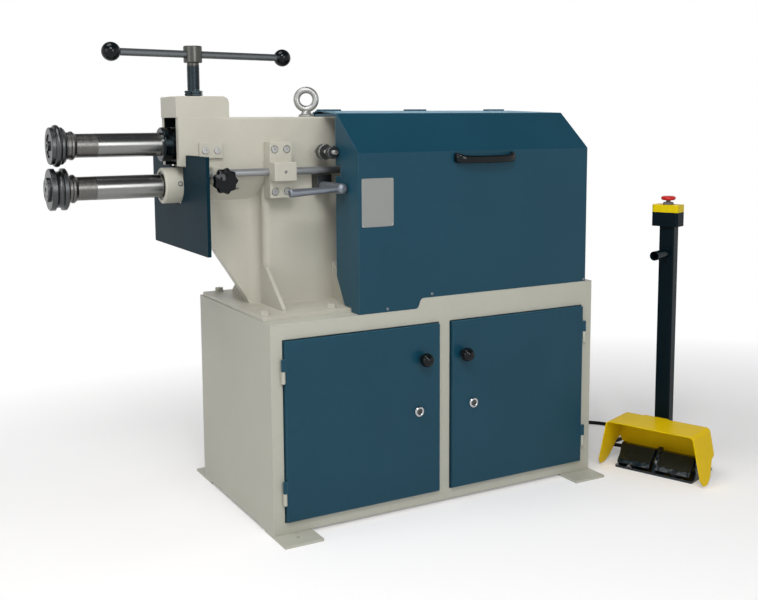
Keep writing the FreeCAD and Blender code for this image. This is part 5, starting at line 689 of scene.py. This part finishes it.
# %% Lift screw thread
SCREW_X, SCREW_RADIUS = -0.700, 0.018
THREAD_PITCH, THREAD_HEIGHT, STEPS_PER_TURN = 0.004, 0.0011, 40
ABOVE_NUTS, BELOW_BAR = 0.003, 0.024
thread_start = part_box("screw_jam_nuts")[1].z
thread_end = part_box("tommy_bar")[0].z - BELOW_BAR
turns = (thread_end - thread_start) / THREAD_PITCH
lift_thread = thread(SCREW_RADIUS, THREAD_PITCH, THREAD_HEIGHT, thread_end - thread_start,
                     round(turns * STEPS_PER_TURN))
bmesh.ops.translate(lift_thread, vec=(SCREW_X, SPINDLE_Y, thread_start + ABOVE_NUTS),
                    verts=lift_thread.verts)
smooth(lift_thread, THREAD_BEND)
piece("lift_screw_thread", lift_thread, black_steel_z, "screw")

# %% [markdown]
# ## Knurled rings
#
# The side adjuster is set by hand, so its ring and its knob are knurled. Straight knurling
# is a circle whose points step in and out: every second point of a fine circle is drawn a
# little toward the centre, and the rim is then pulled along the axis in three steps. It
# widens, runs straight and draws in again, so that both ends are chamfered. The bore's two
# circles are bridged to the ends and to each other.

# %% Knurling
CHAMFER_DEEP, CHAMFER_LONG = 0.0022, 0.0014
BORE_POINTS, KNURL_BEND = 32, 20


def knurled(end_radius, bore, length, teeth, notch, direction, origin):
    shape = bmesh.new()
    rim = bmesh.ops.create_circle(shape, segments=teeth * 2, radius=end_radius)["verts"]
    for point in rim[::2]:
        point.co *= 1 - notch / end_radius
    drawn_in = 1 - CHAMFER_DEEP / end_radius
    straight = length - 2 * CHAMFER_LONG
    rings = [edges_of(rim)]
    for share, depth in ((1 / drawn_in, CHAMFER_LONG), (1, straight), (drawn_in, CHAMFER_LONG)):
        pulled = pull(shape, rings[-1], depth)
        points = list({point for edge in pulled for point in edge.verts})
        bmesh.ops.scale(shape, vec=(share, share, 1), verts=points)
        rings.append(pulled)
    for ring in (rings[0], rings[-1]):
        level = ring[0].verts[0].co.z
        hole = bmesh.ops.create_circle(shape, segments=BORE_POINTS, radius=bore)["verts"]
        bmesh.ops.translate(shape, vec=(0, 0, level), verts=hole)
        hole_edges = edges_of(hole)
        bmesh.ops.bridge_loops(shape, edges=ring + hole_edges)
        rings.append(hole_edges)
    bmesh.ops.bridge_loops(shape, edges=rings[-1] + rings[-2])
    stand(shape, direction, origin, KNURL_BEND)
    return shape


# %% [markdown]
# The ring turns against the casting and locks the adjuster; the knob sits on the threaded
# stud. They stand for the plain turned shapes of the model and keep their places. The stud
# has a cup point at its outer end, and a fine thread that starts in front of the ring.

# %% Side adjuster
ADJUSTER_X, ADJUSTER_Z = -0.328, 1.133
RING_END, RING_BORE, RING_TEETH, RING_NOTCH = 0.0222, 0.0066, 44, 0.0009
KNOB_END, KNOB_BORE, KNOB_TEETH, KNOB_NOTCH = 0.0177, 0.0062, 36, 0.0008
KNOB_FROM_TIP, KNOB_LENGTH = 0.027, 0.019
STUD_RADIUS, STUD_PITCH, STUD_RIDGE = 0.0064, 0.00175, 0.0004
STUD_THREAD_LENGTH, STUD_THREAD_STEPS, THREAD_FROM_RING = 0.072, 1000, 0.001
STUD_OUTLINE = [(0, 0), (STUD_RADIUS, 0), (STUD_RADIUS, 0.1388), (0.0054, 0.14), (0.0026, 0.14),
                (0.0020, 0.1370), (0, 0.1370)]


def on_adjuster(y):
    return Vector((ADJUSTER_X, y, ADJUSTER_Z))


ring_low, ring_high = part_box("adjuster_ring")
stud_low, stud_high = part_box("side_adjuster")
locking = knurled(RING_END, RING_BORE, ring_high.y - ring_low.y, RING_TEETH, RING_NOTCH, -Y_AXIS,
                  on_adjuster(ring_high.y))
lock_ring = piece("knurled_lock_ring", locking, hub_steel, "lock_ring")
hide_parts("adjuster_ring")
knob = knurled(KNOB_END, KNOB_BORE, KNOB_LENGTH, KNOB_TEETH, KNOB_NOTCH, -Y_AXIS,
               on_adjuster(stud_low.y + KNOB_FROM_TIP))
piece("knurled_adjuster_knob", knob, black_steel, "adjuster")
stud = lathe(STUD_OUTLINE, -Y_AXIS, on_adjuster(stud_high.y), 32)
stud_piece = piece("adjuster_stud", stud, zinc, "adjuster")
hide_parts("side_adjuster")
stud_thread = thread(STUD_RADIUS, STUD_PITCH, STUD_RIDGE, STUD_THREAD_LENGTH, STUD_THREAD_STEPS)
bmesh.ops.transform(stud_thread, matrix=aim(-Y_AXIS, on_adjuster(ring_low.y - THREAD_FROM_RING)),
                    verts=stud_thread.verts)
smooth(stud_thread, THREAD_BEND)
piece("adjuster_stud_thread", stud_thread, zinc, "adjuster")

# %% [markdown]
# ## The door locks
#
# Each door has a round cam lock. On the model it is a flat disc with a key slot. The real
# one has a rolled bright rim and a dark plug, set deeper, with the key's slot across it.
# Rim and plug are turned. The key slot is not cut: a thin black bar on the plug is painted
# shade that stands for the dark inside of the slot.

# %% Door locks
CAM_HEIGHT = 0.320
RIM_OUTLINE = [(0.0156, 0), (0.0162, 0.0010), (0.0156, 0.0024), (0.0132, 0.0034), (0.0104, 0.0030),
               (0.0090, 0.0012), (0.0090, 0)]
PLUG_OUTLINE = [(0, 0), (0.0088, 0), (0.0088, 0.0010), (0.0076, 0.0017), (0, 0.0019)]
SLOT_SIZE, SLOT_EDGE, SLOT_FORWARD = (0.0016, 0.0010, 0.0085), 0.0003, 0.0016
for side in ("left", "right"):
    face_low, face_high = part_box("cam_lock_" + side)
    lock_centre = Vector(((face_low.x + face_high.x) / 2, face_low.y, CAM_HEIGHT))
    rim = lathe(RIM_OUTLINE, -Y_AXIS, lock_centre, 40, ring=True, bend=50)
    piece("lock_rim_" + side, rim, chrome, side + "_cam")
    plug = lathe(PLUG_OUTLINE, -Y_AXIS, lock_centre, 32)
    piece("lock_plug_" + side, plug, black_steel, side + "_cam")
    # painted shade: a black bar stands for the shade inside the key slot
    slot_shade_bar = slab(SLOT_SIZE)
    bmesh.ops.bevel(slot_shade_bar, geom=list(slot_shade_bar.edges), offset=SLOT_EDGE, affect="EDGES", segments=2,
                    profile=0.5, material=-1)
    bmesh.ops.translate(slot_shade_bar, vec=lock_centre - Y_AXIS * SLOT_FORWARD, verts=slot_shade_bar.verts)
    piece("lock_slot_shade_" + side, slot_shade_bar, rubber, side + "_cam")

# %% [markdown]
# ## The eye bolt
#
# The lifting eye is forged, so its ring is thick against its hole and runs into a flared
# neck. A small circle is carried round the eye's axis by the spin operator, and the neck
# with its flange is turned below it. The two overlap, as in one forging.

# %% Eye bolt
EYE_CENTRE = Vector((-0.325, 0.020, 1.297))
EYE_WAY = Vector((-0.42, -0.91, 0)).normalized()
EYE_RADIUS, EYE_WIRE = 0.0303, 0.0105
EYE_FOOT = Vector((EYE_CENTRE.x, EYE_CENTRE.y, 1.242))
NECK_OUTLINE = [(0, -0.014), (0.0105, -0.014), (0.0105, 0), (0.0246, 0), (0.0250, 0.0012),
                (0.0250, 0.0054), (0.0238, 0.0066), (0.0195, 0.0084), (0.0155, 0.0130),
                (0.0130, 0.0190), (0, 0.0225)]
ALL_SMOOTH = 180
eye = bmesh.new()
wire = bmesh.ops.create_circle(eye, segments=24, radius=EYE_WIRE)["verts"]
bmesh.ops.rotate(eye, cent=(0, 0, 0), matrix=Matrix.Rotation(math.pi / 2, 3, "X"), verts=wire)
bmesh.ops.translate(eye, vec=(EYE_RADIUS, 0, 0), verts=wire)
bmesh.ops.spin(eye, geom=list(eye.verts) + list(eye.edges), cent=(0, 0, 0), axis=Z_AXIS,
               dvec=(0, 0, 0), angle=math.tau, steps=64, use_merge=True, use_duplicate=False)
stand(eye, EYE_WAY, EYE_CENTRE, ALL_SMOOTH)
eye_piece = piece("forged_eye", eye, zinc, "frame")
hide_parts("eye_bolt")
neck = lathe(NECK_OUTLINE, Z_AXIS, EYE_FOOT)
piece("eye_neck", neck, zinc, "frame")

# %% [markdown]
# ## The star knob
#
# The clamp on the stop rod is tightened by a glossy star knob: nine shallow lobes round a
# domed middle. A circle of points is pulled forward ring by ring. Each ring gets its own
# height, its own radius and its own share of the lobes, strong at the rim and none at the
# dome, so the lobes die out smoothly toward the middle. The first and the last ring are
# filled, and a turned hub with its stud comes out behind.

# %% Star knob
STAR_LOBES, STAR_POINTS, STAR_BEND = 9, 108, 50
STAR_CENTRE = Vector((-0.673, -0.151, 1.056))
STAR_RINGS = [(0.0000, 0.0325, 0.10), (0.0016, 0.0365, 0.115), (0.0045, 0.0392, 0.12),
              (0.0120, 0.0392, 0.12), (0.0152, 0.0372, 0.11), (0.0172, 0.0335, 0.085),
              (0.0180, 0.0290, 0.05), (0.0178, 0.0240, 0.02), (0.0186, 0.0205, 0.0),
              (0.0204, 0.0150, 0.0), (0.0215, 0.0090, 0.0), (0.0219, 0.0035, 0.0)]
HUB_OUTLINE = [(0, 0.0045), (0.015, 0.0045), (0.015, -0.004), (0.013, -0.005), (0.005, -0.005),
               (0.005, -0.081), (0, -0.081)]
star = bmesh.new()
bmesh.ops.create_circle(star, segments=STAR_POINTS, radius=1.0)
ring_edges = list(star.edges)
star_back = list(ring_edges)
level = 0.0
for number, (height, radius, lobing) in enumerate(STAR_RINGS):
    if number:
        ring_edges = pull(star, ring_edges, height - level)
        level = height
    for point in {point for edge in ring_edges for point in edge.verts}:
        angle = math.atan2(point.co.y, point.co.x)
        reach = radius * (1 - lobing * math.sin(angle * STAR_LOBES / 2) ** 2)
        point.co.x, point.co.y = reach * math.cos(angle), reach * math.sin(angle)
for edges in (ring_edges, star_back):
    bmesh.ops.edgeloop_fill(star, edges=edges)
stand(star, -Y_AXIS, STAR_CENTRE, STAR_BEND)
star_piece = piece("star_grip", star, black_gloss, "stop_clamp")
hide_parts("star_knob")
hub = lathe(HUB_OUTLINE, -Y_AXIS, STAR_CENTRE, 32)
piece("star_hub_and_stud", hub, black_steel, "stop_clamp")

# %% [markdown]
# ## The data plate
#
# A small grey plate is riveted to the hood. It is left blank, as nothing written belongs
# on this machine: only its frame line is pressed in. The corners of a thin slab are rounded,
# and its front face is inset three times: up to the line, down into it and out again.

# %% Data plate
HOOD_FRONT_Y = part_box("hood_shell")[0].y
PLATE_LEFT, PLATE_RIGHT, PLATE_LOW, PLATE_HIGH = -0.297, -0.187, 0.910, 1.057
PLATE_THICKNESS, PLATE_CORNER = 0.0012, 0.005
LINE_INSET, LINE_WIDTH, LINE_DEPTH = 0.0035, 0.0007, 0.0003
plate_centre = Vector(((PLATE_LEFT + PLATE_RIGHT) / 2, HOOD_FRONT_Y - PLATE_THICKNESS / 2,
                       (PLATE_LOW + PLATE_HIGH) / 2))
plate = slab((PLATE_RIGHT - PLATE_LEFT, PLATE_THICKNESS, PLATE_HIGH - PLATE_LOW))
corner_edges = [edge for edge in plate.edges
                if abs(edge.verts[0].co.y - edge.verts[1].co.y) > PLATE_THICKNESS / 2]
bmesh.ops.bevel(plate, geom=corner_edges, offset=PLATE_CORNER, affect="EDGES", segments=5,
                profile=0.5, material=-1)
front = min(plate.faces, key=lambda face: face.calc_center_median().y)
for width, rise in ((LINE_INSET, 0.0), (LINE_WIDTH, -LINE_DEPTH), (LINE_WIDTH, LINE_DEPTH)):
    bmesh.ops.inset_region(plate, faces=[front], thickness=width, depth=rise)
bmesh.ops.translate(plate, vec=plate_centre, verts=plate.verts)
plate_metal = metal("plate_aluminium", (0.23, 0.24, 0.23), (0.28, 0.29, 0.28), 0.45, 0.15, ALL_WAYS,
                    metallic=0.35)
piece("data_plate", plate, plate_metal, "hood")

# %% [markdown]
# Four domed rivets hold the plate at its corners. Each is turned on its own, and all four
# are gathered in one mesh.

# %% Rivets
RIVET_INSET = 0.0055
RIVET_OUTLINE = [(0.0026, -0.0004), (0.0026, 0.0002), (0.0019, 0.0009), (0, 0.0012)]
rivets = bmesh.new()
for x in (PLATE_LEFT + RIVET_INSET, PLATE_RIGHT - RIVET_INSET):
    for z in (PLATE_LOW + RIVET_INSET, PLATE_HIGH - RIVET_INSET):
        dome = lathe(RIVET_OUTLINE, -Y_AXIS, Vector((x, HOOD_FRONT_Y - PLATE_THICKNESS, z)), 16)
        mesh = bpy.data.meshes.new("rivet_part")
        dome.to_mesh(mesh)
        dome.free()
        rivets.from_mesh(mesh)
        bpy.data.meshes.remove(mesh)
piece("data_plate_rivets", rivets, chrome, "hood")

# %% [markdown]
# ## Hood screws
#
# Three small socket screws close the hood's lower lip, one at the left, one beyond the step
# in the cabinet's top and one at the right corner.

# %% Hood screws
HOOD_SCREW, SCREW_FORWARD = (0.0045, 0.0030, 0.0019), 0.0026
for number, (x, z) in enumerate(((-0.210, 0.655), (-0.049, 0.688), (0.562, 0.684))):
    head = socket_screw(*HOOD_SCREW, -Y_AXIS, Vector((x, HOOD_FRONT_Y - SCREW_FORWARD, z)))
    piece("hood_screw_" + str(number), head, zinc_blue, "hood")

# %% [markdown]
# ## The hood's pull and top lip
#
# The hood is lifted by a moulded black pull: a bow with broad feet whose grip hangs a little
# below them. An oval section is carried along the bow, standing square to it at each step,
# and is thicker and higher at the feet than in the middle. Both the line of the bow and the
# section are squared-off ellipses.

# %% Hood pull
PULL_MIDDLE = Vector((0.146, HOOD_FRONT_Y, 1.1125))
PULL_REACH, PULL_DEPTH, PULL_DROP, PULL_SUNK = 0.1075, 0.0330, 0.0065, 0.002
PULL_STEPS, PULL_SIDES, PULL_BEND = 40, 20, 60
FIRST_SHARE, SHARE_RANGE, LITTLE_TURN = 0.012, 0.976, 0.01
GRIP_TALL, GRIP_THICK = 0.0120, 0.0062
FOOT_TALLER, FOOT_THICKER, FOOT_POWER = 0.0035, 0.0020, 6
BOW_POWER, SECTION_POWER = 3.4, 2.6


def squared(value, power):
    """Signed power, which squares off a circle's sine or cosine."""
    return math.copysign(abs(value) ** (2 / power), value)


def bow_point(turn):
    across = -PULL_REACH * squared(math.cos(turn), BOW_POWER)
    outward = PULL_SUNK - PULL_DEPTH * squared(math.sin(turn), BOW_POWER)
    return PULL_MIDDLE + Vector((across, outward, -PULL_DROP * math.sin(turn)))


bow = bmesh.new()
bow_rings = []
for step in range(PULL_STEPS + 1):
    turn = math.pi * (FIRST_SHARE + SHARE_RANGE * step / PULL_STEPS)
    here = bow_point(turn)
    along = (bow_point(turn + LITTLE_TURN) - bow_point(turn - LITTLE_TURN)).normalized()
    thick_way = along.cross(Z_AXIS).normalized()
    tall_way = thick_way.cross(along).normalized()
    footing = abs(math.cos(turn)) ** FOOT_POWER
    tall = GRIP_TALL + FOOT_TALLER * footing
    thick = GRIP_THICK + FOOT_THICKER * footing
    ring = []
    for side in range(PULL_SIDES):
        angle = math.tau * side / PULL_SIDES
        sideways = thick_way * thick * squared(math.cos(angle), SECTION_POWER)
        upward = tall_way * tall * squared(math.sin(angle), SECTION_POWER)
        ring.append(bow.verts.new(here + sideways + upward))
    bow_rings.append([bow.edges.new((ring[side - 1], ring[side])) for side in range(PULL_SIDES)])
for first_ring, second_ring in zip(bow_rings, bow_rings[1:]):
    bmesh.ops.bridge_loops(bow, edges=first_ring + second_ring)
for edges in (bow_rings[0], bow_rings[-1]):
    bmesh.ops.edgeloop_fill(bow, edges=edges)
bmesh.ops.recalc_face_normals(bow, faces=bow.faces)
smooth(bow, PULL_BEND)
pull_piece = piece("hood_pull", bow, black_gloss, "hood")
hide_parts("hood_handle")

# %% [markdown]
# Where the hood's top passes behind the arm, its left edge is folded down into a narrow lip
# that hides the opening. The lip is a thin plate under the edge of the top, just clear of
# the arm, and it lifts with the hood.

# %% Top lip
LIP_LOW, LIP_HIGH = (-0.2358, -0.086, 1.2432), (-0.2342, 0.142, 1.2512)
lip = slab([high - low for low, high in zip(LIP_LOW, LIP_HIGH)])
lip_centre = [(low + high) / 2 for low, high in zip(LIP_LOW, LIP_HIGH)]
bmesh.ops.translate(lip, vec=lip_centre, verts=lip.verts)
piece("hood_top_lip", lip, blue, "hood")

# %% [markdown]
# ## The push button
#
# Under the red button a grey collar is screwed onto the cover. It is a turned ring, closed
# because its outline is a loop, and it stands still while the button moves.

# %% Button collar
COLLAR_SUNK = 0.008
COLLAR_OUTLINE = [(0.0146, 0.0084), (0.0163, 0.0084), (0.0184, 0.0034), (0.0190, 0.0030),
                  (0.0190, 0), (0.0146, 0)]
cover_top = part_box("button_box_cover")[1].z - COLLAR_SUNK
button_low, button_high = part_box("emergency_button")
button_centre = (button_low + button_high) / 2
collar_spot = Vector((button_centre.x, button_centre.y, cover_top))
collar = lathe(COLLAR_OUTLINE, Z_AXIS, collar_spot, ring=True)
piece("button_collar", collar, grey_plastic, "frame")

# %% [markdown]
# The red cap is a mushroom: flat below, round at the rim and nearly flat on top. Its grey
# neck goes down through the collar, and is narrow there, so it stays clear of the cover when
# the button is pressed. Both are turned and move together.

# %% Button cap and neck
BUTTON_HEIGHT = 0.030
CAP_OUTLINE = [(0, 0.0148), (0.0165, 0.0148), (0.0212, 0.0158), (0.0241, 0.0182), (0.0250, 0.0215),
               (0.0246, 0.0248), (0.0226, 0.0277), (0.0180, 0.0293), (0.0100, 0.0299), (0, 0.0300)]
BUTTON_NECK_OUTLINE = [(0, -0.010), (0.0078, -0.010), (0.0078, 0.0136), (0.0120, 0.0141),
                       (0.0126, 0.0149), (0, 0.0149)]
button_foot = Vector((button_centre.x, button_centre.y, button_high.z - BUTTON_HEIGHT))
cap = lathe(CAP_OUTLINE, Z_AXIS, button_foot)
cap_piece = piece("button_cap", cap, red_plastic, "stop_button")
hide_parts("emergency_button")
button_neck = lathe(BUTTON_NECK_OUTLINE, Z_AXIS, button_foot, 40)
piece("button_neck", button_neck, grey_plastic, "stop_button")

# %% [markdown]
# ## The studio
#
# A pale floor runs to the horizon and fades into a white background. Near the machine the
# floor takes its shadow, lifted a little, and further off it glows white, as a lit backdrop
# does. Both are only for rays that look at the floor or are mirrored or bent toward it, so
# they put no extra light on the machine. The fade is an oval round the machine.

# %% Floor
FLOOR_REACH, FLOOR_GREY, SHADOW_LIFT = 60, (0.86, 0.85, 0.85), 0.18
FADE_START, FADE_END = 1.2, 2.4
OVAL_SCALE, OVAL_SHIFT = (0.72, 1.0, 1.0), (0.0, 0.45, 0.0)


def mix_shaders(tree, factor, first, second):
    return add_node(tree, "ShaderNodeMixShader", {0: factor, 1: first, 2: second})[0]


shape = bmesh.new()
bmesh.ops.create_grid(shape, x_segments=1, y_segments=1, size=FLOOR_REACH)
floor_mesh = bpy.data.meshes.new("floor")
shape.to_mesh(floor_mesh)
shape.free()
floor = bpy.data.objects.new("floor", floor_mesh)
scene.collection.objects.link(floor)
floor_material, tree, unused_shader, place = new_material("studio_floor")
tree.nodes.remove(unused_shader)
matte = add_node(tree, "ShaderNodeBsdfDiffuse", {"Color": FLOOR_GREY})[0]
glow = add_node(tree, "ShaderNodeEmission")[0]
lift = add_node(tree, "ShaderNodeEmission", {"Strength": SHADOW_LIFT})[0]
lifted = add_node(tree, "ShaderNodeAddShader", {0: matte, 1: lift})[0]
oval = add_node(tree, "ShaderNodeMapping", {"Vector": place, "Scale": OVAL_SCALE, "Location": OVAL_SHIFT})
distance = add_node(tree, "ShaderNodeVectorMath", {0: oval["Vector"]}, operation="LENGTH")["Value"]
fade = add_node(tree, "ShaderNodeMapRange", {
    "Value": distance, "From Min": FADE_START, "From Max": FADE_END})[0]
rays = add_node(tree, "ShaderNodeLightPath")
bent = calculate(tree, "MAXIMUM", rays["Is Glossy Ray"], rays["Is Transmission Ray"])
seen = calculate(tree, "MAXIMUM", rays["Is Camera Ray"], bent)
near = mix_shaders(tree, seen, matte, lifted)
far = mix_shaders(tree, calculate(tree, "MULTIPLY", fade, seen), near, glow)
feed(tree, tree.nodes["Material Output"], {"Surface": far})
floor_mesh.materials.append(floor_material)
print("floor fades from", FADE_START, "to", FADE_END, "m")

# %% [markdown]
# The world lights the shadows evenly. Rays that look straight at it see plain white. A
# mirrored ray sees white up to some way above the horizon and dark grey overhead, which
# gives round steel its dark bands.

# %% World
AMBIENT_STRENGTH = 0.26
WHITE, OVERHEAD_GREY = (1.0, 1.0, 1.0), (0.10, 0.10, 0.11)
WHITE_BELOW, GREY_ABOVE = 0.30, 0.62
world = bpy.data.worlds.new("studio")
scene.world = world
world.use_nodes = True
tree = world.node_tree
feed(tree, tree.nodes["Background"], {"Color": WHITE, "Strength": AMBIENT_STRENGTH})
ambient = tree.nodes["Background"].outputs[0]
backdrop = add_node(tree, "ShaderNodeBackground", {"Color": WHITE})[0]
way = add_node(tree, "ShaderNodeTexCoord")["Generated"]
ramp = tree.nodes.new("ShaderNodeValToRGB")
for stop, (position, colour) in enumerate(((WHITE_BELOW, WHITE), (GREY_ABOVE, OVERHEAD_GREY))):
    ramp.color_ramp.elements[stop].position = position
    ramp.color_ramp.elements[stop].color = (*colour, 1)
feed(tree, ramp, {0: add_node(tree, "ShaderNodeSeparateXYZ", {0: way})["Z"]})
mirrored = add_node(tree, "ShaderNodeBackground", {"Color": ramp.outputs[0]})[0]
rays = add_node(tree, "ShaderNodeLightPath")
direct = calculate(tree, "MAXIMUM", rays["Is Camera Ray"], rays["Is Transmission Ray"])
other = mix_shaders(tree, rays["Is Glossy Ray"], ambient, mirrored)
feed(tree, tree.nodes["World Output"], {"Surface": mix_shaders(tree, direct, other, backdrop)})
print("world", world.name, len(tree.nodes), "nodes")

# %% [markdown]
# Four soft lamps do the rest, and all of them face the middle of the machine. The key
# stands high above the camera. One hangs over the left end and lights the tops, a weak fill
# stands at the left, and a tall one in front, like a window, lights doors and hood.

# %% Lamps
MIDDLE = Vector((-0.1, 0, 0.7))


def softbox(name, place, width, height, power):
    light = bpy.data.lights.new(name, "AREA")
    light.shape = "RECTANGLE"
    light.size, light.size_y = width, height
    light.energy = power
    lamp = bpy.data.objects.new(name, light)
    facing = (MIDDLE - place).to_track_quat("-Z", "Y").to_matrix().to_4x4()
    lamp.matrix_world = Matrix.Translation(place) @ facing
    scene.collection.objects.link(lamp)
    print("lamp", name, power, "W")


softbox("key", Vector((-1.8, -3.3, 3.9)), width=1.6, height=1.4, power=88)
softbox("overhead", Vector((-1.7, -0.2, 4.5)), width=2.0, height=2.0, power=60)
softbox("fill", Vector((-3.7, -1.2, 1.9)), width=2.0, height=1.8, power=20)
softbox("window", Vector((-0.2, -4.4, 2.1)), width=1.3, height=2.0, power=44)
scene.view_settings.view_transform = "Standard"
